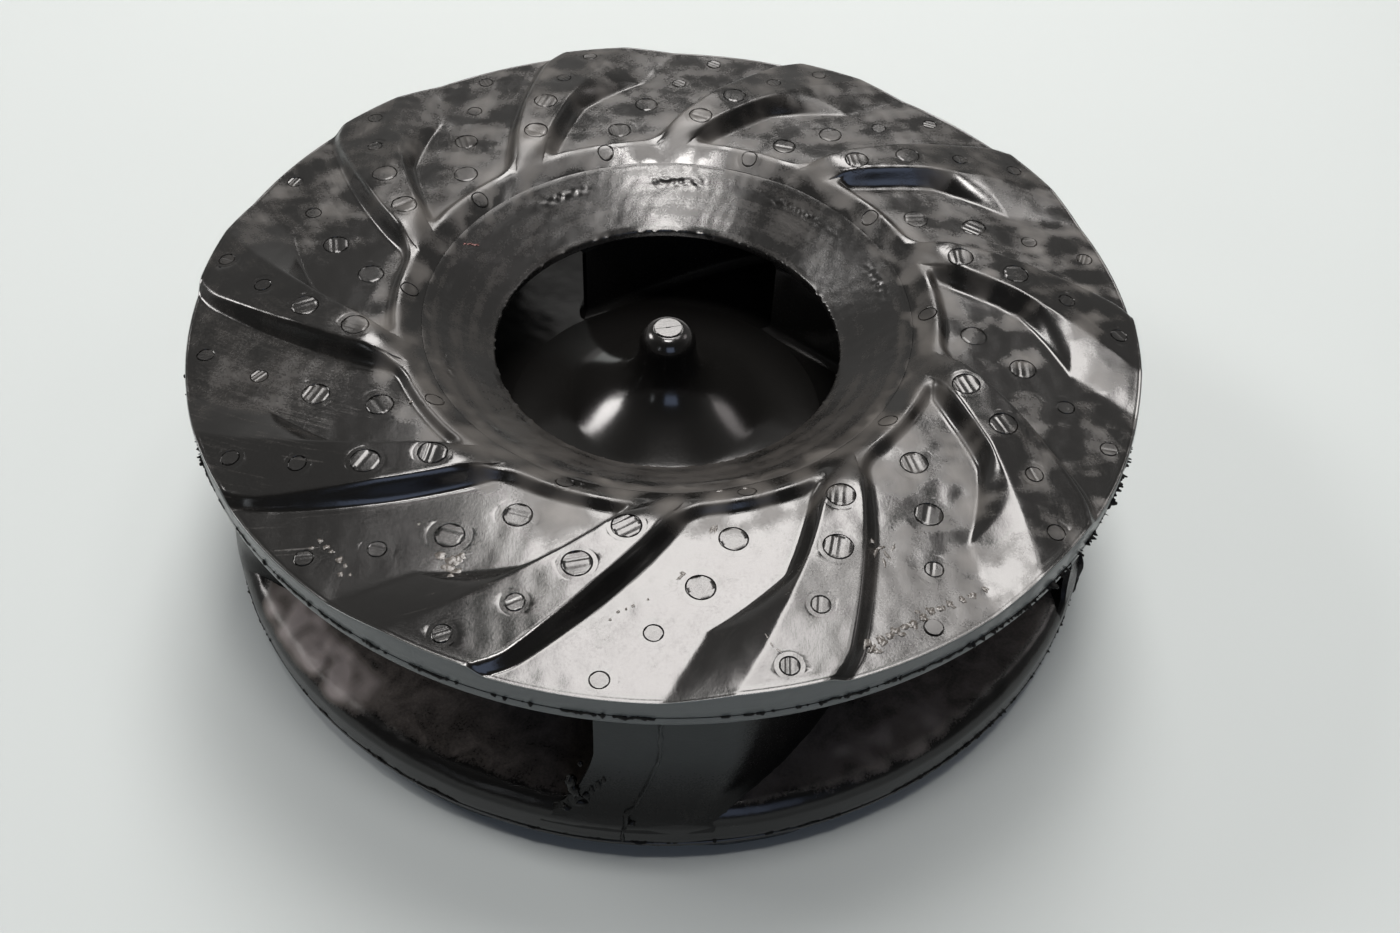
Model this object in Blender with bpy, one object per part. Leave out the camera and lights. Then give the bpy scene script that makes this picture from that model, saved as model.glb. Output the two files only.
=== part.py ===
"""Closed rubber impeller of a slurry pump, standing on its rear vanes with the eye up.

The axis is +Z through the origin, the front is up, and z = 0 is the plane it rests on.
Seen from the eye it turns counter-clockwise, so every vane leans back clockwise.
"""

import math

import bmesh
import bpy

MM = 0.001

# Whole impeller
OUTER_RADIUS = 225 * MM
JOINT_GAP = 0.3 * MM
MAIN_VANES = 5
EXPELLING_VANES = 10
TURNED_STEPS = 72
HUB_STEPS = 48

# Front shroud: rim, pocket floor and the funnel down to the eye
FLOOR_Z = 127 * MM
RIM_LOW_Z = 111.7 * MM
RIM_ROUND = 1.5 * MM
EYE_RADIUS = 85 * MM
LIP_TOP_Z = 106 * MM
LIP_THICKNESS = 7 * MM
POCKET_FOOT_RADIUS = 133.4 * MM
POCKET_TOP_RADIUS = 130 * MM
POCKET_TOP_Z = 132.6 * MM

# Expelling vanes, the same on both faces
VANE_HEIGHT = 10.6 * MM
VANE_RIM_HEIGHT = 4 * MM
VANE_BEND_RADIUS = 138.4 * MM
PLATEAU_END_RADIUS = 173 * MM
FACET_START_RADIUS = 170 * MM
CREASE_RADIUS = 192 * MM
FRONT_VANE_END = 224.4 * MM
REAR_VANE_END = 221 * MM
VANE_REFERENCE_RADIUS = 154 * MM
LEAD_ANGLE = -93.1
LEAD_SWEEP = 38.9
TRAIL_ANGLE = -101.7
TRAIL_SWEEP = 45.0
SIDE_SLOPE = 2.1
RAMP_AT_CREASE = 8.9
RAMP_AT_RIM = 7.2
VANE_STATIONS = 8
VANE_ACROSS = 3

# Back shroud
BACK_RADIUS = 223.5 * MM
BACK_FLOOR_Z = 10 * MM
BACK_RIM_TOP_Z = 35 * MM
BACK_RIM_ROUND = 9.5 * MM
BACK_EDGE_ROUND = 2 * MM
BACK_RISE = 19.3 * MM
DISH_STEPS = 8

# Main vanes
NOSE_RADIUS = 86.6 * MM
MAIN_VANE_END = 217 * MM
MAIN_END_ANGLE = -89.3
MAIN_WRAP = 64.9
MAIN_WRAP_POWER = 0.73
MAIN_END_HALF = 8.3
MAIN_NOSE_HALF = 14.3
NOSE_ROUNDING = 0.25
MAIN_STATIONS = (0, 0.008, 0.03, 0.07, 0.13, 0.2, 0.3, 0.42, 0.55, 0.7, 0.85, 1)
MAIN_ACROSS = 4

# Hub, its nose cone and the steel insert
HUB_RADIUS = 80.3 * MM
HUB_EDGE_Z = 54.4 * MM
HUB_REAR_Z = 1 * MM
TIP_Z = 112.5 * MM
TIP_RADIUS = 13.2 * MM
FLARE_TOP_Z = 99.5 * MM
INSERT_RADIUS = 56 * MM
INSERT_TOP_Z = 48 * MM
BORE_RADIUS = 27 * MM
BORE_TOP_Z = 44 * MM
BORE_MOUTH = 2 * MM


def make_material(name, colour, roughness, metallic):
    """A Principled material with one flat colour."""
    material = bpy.data.materials.new(name)
    material.use_nodes = True
    shader = material.node_tree.nodes["Principled BSDF"]
    shader.inputs["Base Color"].default_value = (*colour, 1.0)
    shader.inputs["Roughness"].default_value = roughness
    shader.inputs["Metallic"].default_value = metallic
    return material


def add_object(name, mesh_maker, material):
    """A mesh maker's closed shape as a named object with its faces out and round parts smooth."""
    shape = bmesh.new()
    mesh_maker(shape)
    bmesh.ops.recalc_face_normals(shape, faces=shape.faces)
    mesh = bpy.data.meshes.new(name)
    shape.to_mesh(mesh)
    shape.free()
    mesh.shade_smooth()
    mesh.set_sharp_from_angle(angle=math.radians(30))
    mesh.materials.append(material)
    piece = bpy.data.objects.new(name, mesh)
    bpy.context.scene.collection.objects.link(piece)
    return piece


def turn(shape, outline, closed, steps):
    """Spins an outline of (radius, z) points once round the axis."""
    points = [shape.verts.new((radius, 0.0, z)) for radius, z in outline]
    pairs = list(zip(points, points[1:]))
    if closed:
        pairs.append((points[-1], points[0]))
    edges = [shape.edges.new(pair) for pair in pairs]
    bmesh.ops.spin(
        shape,
        geom=points + edges,
        cent=(0, 0, 0),
        axis=(0, 0, 1),
        angle=2 * math.pi,
        steps=steps,
        use_merge=True,
    )
    bmesh.ops.remove_doubles(shape, verts=shape.verts, dist=1e-6)


def loft(shape, rings):
    """Joins rings of (radius, degrees, z) points into a closed bar with flat ends."""
    loops = []
    for ring in rings:
        loop = []
        for radius, degrees, z in ring:
            angle = math.radians(degrees)
            loop.append(shape.verts.new((radius * math.cos(angle), radius * math.sin(angle), z)))
        loops.append(loop)
    count = len(loops[0])
    for near, far in zip(loops, loops[1:]):
        for i in range(count):
            j = (i + 1) % count
            shape.faces.new((near[i], near[j], far[j], far[i]))
    shape.faces.new(loops[0])
    shape.faces.new(loops[-1])


def spread(start, end, steps):
    """Values spaced evenly from start to end, both included."""
    return [start + (end - start) * i / steps for i in range(steps + 1)]


def arc(centre, radius, start, end, steps):
    """Points on a circle of the (radius, z) plane, angles in degrees."""
    points = []
    for degrees in spread(start, end, steps):
        angle = math.radians(degrees)
        points.append((centre[0] + radius * math.cos(angle), centre[1] + radius * math.sin(angle)))
    return points


def underside_z(radius):
    """Height of the front shroud's lower face, a shallow cone from the eye's lip to the rim."""
    lip_z = LIP_TOP_Z - LIP_THICKNESS
    along = (radius - EYE_RADIUS) / (OUTER_RADIUS - EYE_RADIUS)
    return lip_z + (RIM_LOW_Z - lip_z) * along


def back_z(radius):
    """Height of the back shroud's upper face, which rises towards the hub."""
    inward = (MAIN_VANE_END - radius) / (MAIN_VANE_END - HUB_RADIUS)
    return BACK_RIM_TOP_Z + BACK_RISE * max(0.0, inward) ** 2


def front_shroud_outline():
    """The funnel, the step down to the pocket floor, the rim and the underside."""
    lip = arc((EYE_RADIUS + LIP_THICKNESS / 2, LIP_TOP_Z - LIP_THICKNESS / 2), LIP_THICKNESS / 2, 120, 240, 4)
    rim = arc((OUTER_RADIUS - RIM_ROUND, FLOOR_Z - RIM_ROUND), RIM_ROUND, 90, 0, 2)
    step = [(POCKET_TOP_RADIUS, POCKET_TOP_Z), (POCKET_FOOT_RADIUS, FLOOR_Z)]
    return step + rim + [(OUTER_RADIUS, RIM_LOW_Z)] + lip[::-1]


def back_shroud_outline():
    """The dished upper face, the rounded rim and the flat rear floor."""
    inner = HUB_RADIUS + JOINT_GAP
    centre = (BACK_RADIUS - BACK_RIM_ROUND, BACK_RIM_TOP_Z - BACK_RIM_ROUND)
    rounded = arc(centre, BACK_RIM_ROUND, 75, 0, 4)
    lower = arc((BACK_RADIUS - BACK_EDGE_ROUND, BACK_FLOOR_Z + BACK_EDGE_ROUND), BACK_EDGE_ROUND, 0, -90, 2)
    dish = [(radius, back_z(radius)) for radius in spread(inner, centre[0], DISH_STEPS)]
    return dish + rounded + lower + [(inner, BACK_FLOOR_Z)]


def hub_outline():
    """From the rear face's pocket up the side, over the flared cone to the domed tip."""
    flare = []
    steps = 9
    for i in range(steps + 1):
        angle = math.radians(90 * i / steps)
        radius = HUB_RADIUS - (HUB_RADIUS - TIP_RADIUS) * math.sin(angle)
        flare.append((radius, FLARE_TOP_Z - (FLARE_TOP_Z - HUB_EDGE_Z) * math.cos(angle)))
    dome = []
    for i in range(1, 5):
        angle = math.radians(90 * i / 4)
        dome.append((TIP_RADIUS * math.cos(angle), FLARE_TOP_Z + (TIP_Z - FLARE_TOP_Z) * math.sin(angle)))
    dome[-1] = (0.0, TIP_Z)
    pocket_radius = INSERT_RADIUS + JOINT_GAP
    pocket_top = INSERT_TOP_Z + JOINT_GAP
    rear = [(0.0, pocket_top), (pocket_radius, pocket_top), (pocket_radius, HUB_REAR_Z), (HUB_RADIUS, HUB_REAR_Z)]
    return rear + flare + dome


def insert_outline():
    """A thick steel plug with a blind bore from below."""
    return [
        (0.0, BORE_TOP_Z),
        (BORE_RADIUS, BORE_TOP_Z),
        (BORE_RADIUS, BORE_MOUTH),
        (BORE_RADIUS + BORE_MOUTH, 0.0),
        (INSERT_RADIUS, 0.0),
        (INSERT_RADIUS, INSERT_TOP_Z),
        (0.0, INSERT_TOP_Z),
    ]


def expelling_height(radius):
    """Full height over the plateau, then falling in a straight line to the rim."""
    if radius <= PLATEAU_END_RADIUS:
        return VANE_HEIGHT
    fall = (radius - PLATEAU_END_RADIUS) / (OUTER_RADIUS - PLATEAU_END_RADIUS)
    return VANE_HEIGHT + (VANE_RIM_HEIGHT - VANE_HEIGHT) * fall


def ramp_width(radius):
    """Degrees from a vane's trailing top edge to its foot: steep, then a facet, then a long ramp."""
    if radius <= FACET_START_RADIUS:
        return SIDE_SLOPE
    if radius <= CREASE_RADIUS:
        part = (radius - FACET_START_RADIUS) / (CREASE_RADIUS - FACET_START_RADIUS)
        return SIDE_SLOPE + (RAMP_AT_CREASE - SIDE_SLOPE) * part
    part = (radius - CREASE_RADIUS) / (OUTER_RADIUS - CREASE_RADIUS)
    return RAMP_AT_CREASE + (RAMP_AT_RIM - RAMP_AT_CREASE) * part


def expelling_ring(radius, top_radius, foot_z, top_z, turned):
    """An expelling vane's section: its top from trailing to leading edge, then its foot back again."""
    foot_sweep = math.log(radius / VANE_REFERENCE_RADIUS)
    top_sweep = math.log(top_radius / VANE_REFERENCE_RADIUS)
    trail_foot = TRAIL_ANGLE - TRAIL_SWEEP * foot_sweep - ramp_width(radius)
    trail_top = TRAIL_ANGLE - TRAIL_SWEEP * top_sweep
    lead_top = LEAD_ANGLE - LEAD_SWEEP * top_sweep
    lead_foot = LEAD_ANGLE - LEAD_SWEEP * foot_sweep + SIDE_SLOPE
    top = [(top_radius, degrees + turned, top_z) for degrees in spread(trail_top, lead_top, VANE_ACROSS)]
    foot = [(radius, degrees + turned, foot_z) for degrees in spread(lead_foot, trail_foot, VANE_ACROSS)]
    return top + foot


def vane_radii(start, end):
    """Stations along an expelling vane, with one on the crease and one at the plateau's end."""
    return sorted(spread(start, end, VANE_STATIONS) + [CREASE_RADIUS, PLATEAU_END_RADIUS])


def front_vane_rings(turned):
    """A front vane, whose inner end leans against the pocket's inner wall and follows the funnel."""
    foot_z = FLOOR_Z + JOINT_GAP
    start = POCKET_FOOT_RADIUS + JOINT_GAP
    rings = [expelling_ring(start, POCKET_TOP_RADIUS + JOINT_GAP, foot_z, POCKET_TOP_Z, turned)]
    for radius in vane_radii(VANE_BEND_RADIUS, FRONT_VANE_END):
        rings.append(expelling_ring(radius, radius, foot_z, FLOOR_Z + expelling_height(radius), turned))
    return rings


def rear_vane_rings(turned):
    """A rear vane: the front one's section turned over, reaching in to the hub."""
    foot_z = BACK_FLOOR_Z - JOINT_GAP
    rings = []
    for radius in vane_radii(HUB_RADIUS + 2 * MM, REAR_VANE_END):
        crest = VANE_HEIGHT - expelling_height(radius)
        rings.append(expelling_ring(radius, radius, foot_z, crest, turned))
    return rings


def main_vane_rings(turned):
    """A thick main vane from its blunt nose at the eye to its broad end at the outlet."""
    rings = []
    for along in MAIN_STATIONS:
        radius = NOSE_RADIUS + (MAIN_VANE_END - NOSE_RADIUS) * along
        middle = MAIN_END_ANGLE + MAIN_WRAP * (1 - along**MAIN_WRAP_POWER)
        rounding = min(1.0, along / NOSE_ROUNDING)
        blunt = max(0.12, math.sqrt(1 - (1 - rounding) ** 2))
        half = (MAIN_END_HALF + (MAIN_NOSE_HALF - MAIN_END_HALF) * (1 - along)) * blunt
        low = back_z(radius) + JOINT_GAP
        high = underside_z(radius) - JOINT_GAP
        across = spread(middle + turned - half, middle + turned + half, MAIN_ACROSS)
        top = [(radius, degrees, high) for degrees in across]
        bottom = [(radius, degrees, low) for degrees in reversed(across)]
        rings.append(top + bottom)
    return rings


def make_vanes(name, count, ring_maker, material):
    """Copies of one vane spaced evenly round the axis, each its own object."""
    for i in range(count):
        rings = ring_maker(360 / count * i)
        add_object(f"{name}_{i + 1}", lambda shape: loft(shape, rings), material)


def clear_scene():
    """Removes whatever objects the scene holds."""
    for item in list(bpy.data.objects):
        bpy.data.objects.remove(item, do_unlink=True)


def main():
    clear_scene()
    rubber = make_material("moulded_rubber", (0.035, 0.032, 0.030), 0.38, 0.0)
    steel = make_material("insert_steel", (0.42, 0.41, 0.40), 0.42, 1.0)
    front = front_shroud_outline()
    add_object("front_shroud", lambda shape: turn(shape, front, True, TURNED_STEPS), rubber)
    back = back_shroud_outline()
    add_object("back_shroud", lambda shape: turn(shape, back, True, TURNED_STEPS), rubber)
    add_object("hub_nose", lambda shape: turn(shape, hub_outline(), False, HUB_STEPS), rubber)
    add_object("shaft_insert", lambda shape: turn(shape, insert_outline(), False, HUB_STEPS), steel)
    make_vanes("front_vane", EXPELLING_VANES, front_vane_rings, rubber)
    make_vanes("main_vane", MAIN_VANES, main_vane_rings, rubber)
    make_vanes("rear_vane", EXPELLING_VANES, rear_vane_rings, rubber)


main()
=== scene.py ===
"""Rubber slurry pump impeller: moulded skins, cored pins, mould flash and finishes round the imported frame."""

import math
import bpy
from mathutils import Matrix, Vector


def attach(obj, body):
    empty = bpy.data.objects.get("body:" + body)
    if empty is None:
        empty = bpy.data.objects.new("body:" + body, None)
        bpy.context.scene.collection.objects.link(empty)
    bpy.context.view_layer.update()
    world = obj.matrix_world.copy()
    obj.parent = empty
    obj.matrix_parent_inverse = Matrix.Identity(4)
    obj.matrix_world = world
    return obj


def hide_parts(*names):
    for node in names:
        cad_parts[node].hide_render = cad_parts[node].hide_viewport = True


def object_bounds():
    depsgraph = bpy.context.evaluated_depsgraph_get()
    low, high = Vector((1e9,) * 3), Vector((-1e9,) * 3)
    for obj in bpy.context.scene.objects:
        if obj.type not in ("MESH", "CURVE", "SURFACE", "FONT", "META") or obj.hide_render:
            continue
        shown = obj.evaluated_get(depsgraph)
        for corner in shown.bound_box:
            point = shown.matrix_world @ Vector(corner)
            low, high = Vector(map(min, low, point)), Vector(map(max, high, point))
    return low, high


bl_info = {
    "name": "Rubber Impeller",
    "version": (1, 0, 0),
    "blender": (4, 5, 0),
    "location": "3D View > Sidebar > Impeller",
    "description": "Builds the visible rubber skins of a slurry pump impeller round its packed frame",
    "category": "Add Mesh",
}

import bmesh
import bpy
import numpy as np
from bpy.props import FloatProperty, FloatVectorProperty, PointerProperty
from mathutils import Matrix

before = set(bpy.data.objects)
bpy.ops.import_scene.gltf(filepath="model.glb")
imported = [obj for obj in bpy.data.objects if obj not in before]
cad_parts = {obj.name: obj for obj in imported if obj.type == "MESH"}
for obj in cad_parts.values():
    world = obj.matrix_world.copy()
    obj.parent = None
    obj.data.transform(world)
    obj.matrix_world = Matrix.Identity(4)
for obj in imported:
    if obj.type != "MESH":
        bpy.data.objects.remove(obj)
CAD_BOX = [list(corner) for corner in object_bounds()]

MM = 0.001
RUBBER_SLOT = "moulded_rubber"
STEEL_SLOT = "insert_steel"
MAIN_VANES = 5
EXPELLING_VANES = 10
PITCH = 360 / EXPELLING_VANES
OUTER_RADIUS = 225 * MM

# Front face, the same law as the frame's solids
EYE_RADIUS = 85 * MM
LIP_TOP = 106 * MM
LIP_THICKNESS = 7 * MM
LIP_ROUND = 1.6 * MM
POCKET_TOP_RADIUS = 130 * MM
POCKET_TOP = 132.6 * MM
POCKET_WALL = 3.1 * MM
FUNNEL_SLOPE = 0.62
FUNNEL_JOINT = 118 * MM
PLATEAU_END = 173 * MM
RIM_RISE = 4 * MM
FACET_START = 170 * MM
CREASE_RADIUS = 192 * MM
VANE_REFERENCE = 154 * MM
LEAD_ANGLE = -93.1
LEAD_SWEEP = 38.9
TRAIL_ANGLE = -101.7
TRAIL_SWEEP = 45.0
SIDE_SLOPE = 2.1
LEAD_RUN = 4.3 * MM
LEAD_SET_BACK = 0.4 * MM
RAMP_AT_CREASE = 8.9
RAMP_AT_RIM = 7.2
FRONT_VANE_END = 227.5 * MM
REAR_VANE_END = 222.5 * MM
VANE_CORNER = 15 * MM
RIM_SKIN = 224.3 * MM
LAST_ROW = 223.7 * MM
THUMB_ROUND = 9 * MM
THUMB_SAG = 4 * MM
LEAD_COSINE = math.cos(math.atan(math.radians(LEAD_SWEEP)))
TRAIL_COSINE = math.cos(math.atan(math.radians(TRAIL_SWEEP)))

# Back shroud and hub
HUB_RADIUS = 80.3 * MM
BACK_INNER = 80.5 * MM
BACK_RADIUS = 223.5 * MM
BACK_TOP = 35 * MM
BACK_FLOOR = 10 * MM
BACK_RISE = 19.3 * MM
BACK_ROUND = 9.5 * MM
PARTING_Z = 14 * MM
BACK_RIM_CENTRE = (BACK_RADIUS - BACK_ROUND, BACK_TOP - BACK_ROUND)
BACK_RIM_LEVELS = (22, 18, 15.2)
CREST_CLEAR = 0.08 * MM
FLASH_LIMIT = 224.9 * MM

# Main vanes
MAIN_END_RADIUS = 217 * MM
NOSE_RADIUS = 86.6 * MM
MAIN_VANE_TALL = 62 * MM
MAIN_OUTLET_ANGLE = -89.3
MAIN_SWEEP = 64.9
MAIN_BEND = 0.73
FOOT_ROUND = 7 * MM
ROOT_ROUND = 5 * MM
FOOT_FLARE = 5.2 * MM
FLARE_LEVEL = 0.55

# Hub's tip and steel insert
AXIS_RADIUS = 1.2 * MM
HUB_TOP = 99.0 * MM
TIP_TOP = 112.4 * MM
TIP_DISC = 6.6 * MM
TIP_SLOT_ANGLE = 14
THREAD_PITCH = 6 * MM
THREAD_RADIUS = 27 * MM
THREAD_DEPTH = 1.5 * MM

# Rows of the meshes: from radius, to radius in millimetres and steps between
FRONT_BANDS = ((118, 126, 7), (126, 143, 21), (143, 168, 20), (168, 198, 25), (198, 218, 14), (218, 223.7, 17))
BACK_BANDS = ((80.5, 150, 22), (150, 214, 36))
REAR_BANDS = ((80.5, 90, 6), (90, 168, 26), (168, 198, 18), (198, 221.5, 16))

# Rounding of the front rim in millimetres: out from the last row, and down from it
RIM_EDGE = ((0.3, 0.06), (0.5, 0.22), (0.6, 0.5))

# The rim's band in millimetres: out from its skin, and up from the pocket floor
RIM_BAND = (
    (0, -1.0), (0, -4.6), (0, -9.0), (-0.3, -9.5), (-0.3, -9.9), (0, -10.3), (0, -13.9), (-0.3, -14.8), (-1.0, -15.2),
)

# Turned outlines: radius and height in millimetres
FUNNEL_LIP = ((85.2, 101.6), (85.7, 100.3), (86.8, 99.5))
REAR_EDGE = (
    (222.3, 10.15), (223.0, 10.7), (223.4, 11.6), (223.4, 13.4), (222.9, 13.9), (200, 13.9), (150, 13.9), (110, 13.9),
    (80.5, 13.9),
)
HUB_FOOT = ((56.3, 48.3), (56.3, 2.0), (57.3, 1.0), (79.3, 1.0), (80.3, 2.0))
TIP_GROOVE = ((7.45, 112.0), (7.3, 111.6), (7.1, 111.6), (6.95, 112.2), (6.7, 112.4))
BORE_END = ((1.0, 44.0), (26.9, 44.0))
INSERT_OUTSIDE = ((28.6, 2.2), (30.6, 0.1), (32, 0.02), (54.8, 0.02), (56, 1.2), (56, 48), (1.0, 48))


def sizes():
    """The sizes that a user may change in the sidebar."""
    return bpy.context.scene.impeller_sizes


def colours():
    """The colours that a user may change in the sidebar."""
    return bpy.context.scene.impeller_colours


# Shapes in numbers


def spread(start, end, steps):
    """Values spaced evenly from start to end, both included."""
    return np.linspace(start, end, steps + 1)


def eased(start, end, steps):
    """Values from start to end, closer together near both ends."""
    part = np.linspace(0, 1, steps + 1)
    return start + (end - start) * (0.5 * part + 0.25 * (1 - np.cos(np.pi * part)))


def smooth_min(a, b, band):
    """The lower of a and b, rounded where they are less than band apart."""
    part = np.clip(0.5 + 0.5 * (b - a) / band, 0, 1)
    return b + (a - b) * part - band * part * (1 - part)


def smooth_max(a, b, band):
    """The higher of a and b, rounded where they are less than band apart."""
    return -smooth_min(-a, -b, band)


def smooth_step(low, high, value):
    """0 below low, 1 above high, and a smooth rise between."""
    part = np.clip((value - low) / (high - low), 0, 1)
    return part * part * (3 - 2 * part)


def step_mm(low, high, value):
    """A smooth step between two distances in millimetres."""
    return smooth_step(low * MM, high * MM, value)


def between(value, start, full, fading, end):
    """1 from full to fading, 0 before start and after end, and smooth in between."""
    return smooth_step(start, full, value) * smooth_step(end, fading, value)


def ridge(value, middle, width):
    """1 at the middle, fading out on both sides of it."""
    return np.exp(-(((value - middle) / width) ** 2))


def spot(x, y, px, py, size):
    """1 at a place, fading out round it."""
    return np.exp(-(((x - px) ** 2 + (y - py) ** 2) / size**2))


def fillet(radius, away):
    """How far a rounded corner stands out at a distance from the face it runs into."""
    return radius - math.sqrt(radius**2 - (radius - away) ** 2) if away < radius else 0.0


def round_corner(a, b, radius):
    """The lower of two distances, with the corner between their lines rounded."""
    both = (a < radius) & (b < radius)
    return np.where(both, radius - np.hypot(radius - a, radius - b), np.minimum(a, b))


def wall(share, top, foot):
    """1 above a wall, 0 beyond it and straight between, with its top edge and its foot rounded."""
    return smooth_max(smooth_min(1.0, 1 - share, top), 0.0, foot)


def waves(x, y, length, seed, count=14):
    """A smooth random field of about unit height, made of plane waves near one length in millimetres."""
    draw = np.random.default_rng(seed)
    total = np.zeros(np.broadcast(x, y).shape)
    for _ in range(count):
        heading = draw.uniform(0, 2 * math.pi)
        rate = 2 * math.pi / (length * MM) * draw.uniform(0.7, 1.5)
        phase = draw.uniform(0, 2 * math.pi)
        total = total + np.sin((x * math.cos(heading) + y * math.sin(heading)) * rate + phase)
    return total / math.sqrt(count / 2)


def polar(radius, degrees):
    """x and y of a point given by its radius and its angle in degrees."""
    angle = np.radians(degrees)
    return radius * np.cos(angle), radius * np.sin(angle)


def bearing(x, y):
    """Angle of a point round the axis, in degrees."""
    return np.degrees(np.arctan2(y, x))


def all_round(count):
    """Angles in degrees, spaced evenly all the way round."""
    return np.arange(count) * 360 / count


def in_metres(outline):
    """An outline given in millimetres."""
    return [(radius * MM, z * MM) for radius, z in outline]


def points_at(x, y, z):
    """Points from their x, y and z, any of which may be one number for all."""
    return np.stack(np.broadcast_arrays(x, y, z), -1)


def band_radii(bands):
    """Radii of a mesh's rows, in metres, from bands given in millimetres."""
    return np.concatenate([spread(start, end, steps)[:-1] for start, end, steps in bands] + [[bands[-1][1]]]) * MM


def lead_edge(radius):
    """Angle of the first expelling vane's leading top edge."""
    return LEAD_ANGLE - LEAD_SWEEP * np.log(radius / VANE_REFERENCE)


def trail_edge(radius):
    """Angle of the first expelling vane's trailing top edge."""
    return TRAIL_ANGLE - TRAIL_SWEEP * np.log(radius / VANE_REFERENCE)


def ramp_width(radius):
    """Degrees from a vane's trailing top edge down to its foot."""
    knots = [FACET_START, CREASE_RADIUS, OUTER_RADIUS]
    return np.interp(radius, knots, [SIDE_SLOPE, RAMP_AT_CREASE, RAMP_AT_RIM])


def sector_columns(radius):
    """Angles of the mesh columns at one radius, gathered along the vanes' edges."""
    lead = lead_edge(radius)
    trail = trail_edge(radius)
    foot = trail - ramp_width(radius)
    knots = [foot, trail, lead, lead + SIDE_SLOPE, foot + PITCH]
    steps = [15, 18, 12, 32]
    angles = np.concatenate([eased(a, b, n)[:-1] for a, b, n in zip(knots, knots[1:], steps)])
    return np.concatenate([angles + PITCH * i for i in range(EXPELLING_VANES)])


def vane_shape(radius, degrees, end, inner_wall):
    """Share of an expelling vane's height at each point, and the distance across the vane from its middle."""
    lead = lead_edge(radius)
    trail = trail_edge(radius)
    past = np.mod(degrees - lead, PITCH)
    ahead = PITCH - (lead - trail) - past
    on_vane = ahead < 0
    per_degree = math.radians(1) * radius
    from_lead = np.where(on_vane, past - PITCH, past) * per_degree * LEAD_COSINE
    inside = round_corner(-from_lead, end - radius, VANE_CORNER)
    lead_share = (-inside - LEAD_SET_BACK) / LEAD_RUN
    ramp = ramp_width(radius)
    trail_share = ahead / ramp
    trail_run = ramp * per_degree * TRAIL_COSINE
    if inner_wall:
        inner_share = (radius - POCKET_TOP_RADIUS) / POCKET_WALL
        trail_share = round_corner(trail_share, inner_share, 1.9)
        lead_share = round_corner(lead_share, inner_share, 2.6)
    nose = 0.4 * MM * step_mm(166, 143, radius) * inner_wall
    lead_part = wall(lead_share, (1.2 * MM + nose) / LEAD_RUN, 0.4)
    trail_top = np.clip((0.9 * MM + nose) / trail_run, 0.03, 0.8)
    trail_part = wall(trail_share, trail_top, np.clip(2.0 * MM / trail_run, 0.04, 0.5))
    beside = smooth_max(lead_part, trail_part, 0.05)
    half = 0.5 * (lead - trail) * per_degree * LEAD_COSINE
    across = np.where(on_vane, from_lead + half, half * 2)
    return np.minimum(1, np.where(on_vane, np.minimum(lead_part, trail_part), beside)), across


def rise(radius, full):
    """Height of an expelling vane's top above its floor, falling towards the rim."""
    fall = full + (RIM_RISE - full) * (radius - PLATEAU_END) / (OUTER_RADIUS - PLATEAU_END)
    return smooth_min(full, fall, 0.5 * MM)


def held_down(z):
    """Heights kept just under the frame's highest point."""
    return np.minimum(z, CAD_BOX[1][2] - 0.03 * MM)


def front_height(radius, degrees):
    """Height of the front face at a point: pocket floor, walls, vanes and the funnel's outer part."""
    s = sizes()
    share, across = vane_shape(radius, degrees, FRONT_VANE_END, True)
    sag = np.minimum(across**2 / (2 * THUMB_ROUND), THUMB_SAG) * step_mm(126, 134, radius)
    funnel = POCKET_TOP - s.floor_height + FUNNEL_SLOPE * (radius - sag - POCKET_TOP_RADIUS)
    land = smooth_min(funnel, rise(radius, s.vane_height), 4.2 * MM)
    land = land - 0.08 * MM * step_mm(218.8, 221.6, radius)
    x, y = polar(radius, degrees)
    uneven = 0.10 * MM * waves(x, y, 36, 3) + 0.025 * MM * waves(x, y, 12, 4)
    fade = step_mm(225, 219, radius) * (1 - 0.7 * spot(x, y, -95 * MM, -135 * MM, 45 * MM))
    level = s.floor_height + land * share + (uneven * s.unevenness - 0.3 * MM * share) * fade
    share_out, first, _ = VANE_PINS[0]
    for sector in range(EXPELLING_VANES):
        px, py = polar(share_out * s.outer_radius, first + PITCH * sector)
        level = level - 0.5 * MM * spot(x, y, px, py, 6.0 * MM)
    level = level - 0.12 * MM * ridge(radius, 222.9 * MM, 0.4 * MM)
    return held_down(level - 0.02 * MM)


# The cored pins' marks: share of the outer radius, angle in degrees in the first sector, radius in millimetres
VANE_PINS = ((0.654, -95.7, 6.2), (0.755, -101.4, 6.2), (0.856, -107.0, 3.9), (0.955, -112.7, 3.9))
POCKET_PINS = ((0.652, -114.3, 6.1), (0.756, -120.7, 6.1), (0.855, -126.8, 3.9), (0.9555, -132.0, 3.9))
RING_PINS = ((0.554, -109.4, 4.0),)

# How far the pins' collars reach out from their discs, in millimetres
COLLAR_REACH = {"vane": 2.1, "pocket": 3.4, "ring": 2.4}

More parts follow.
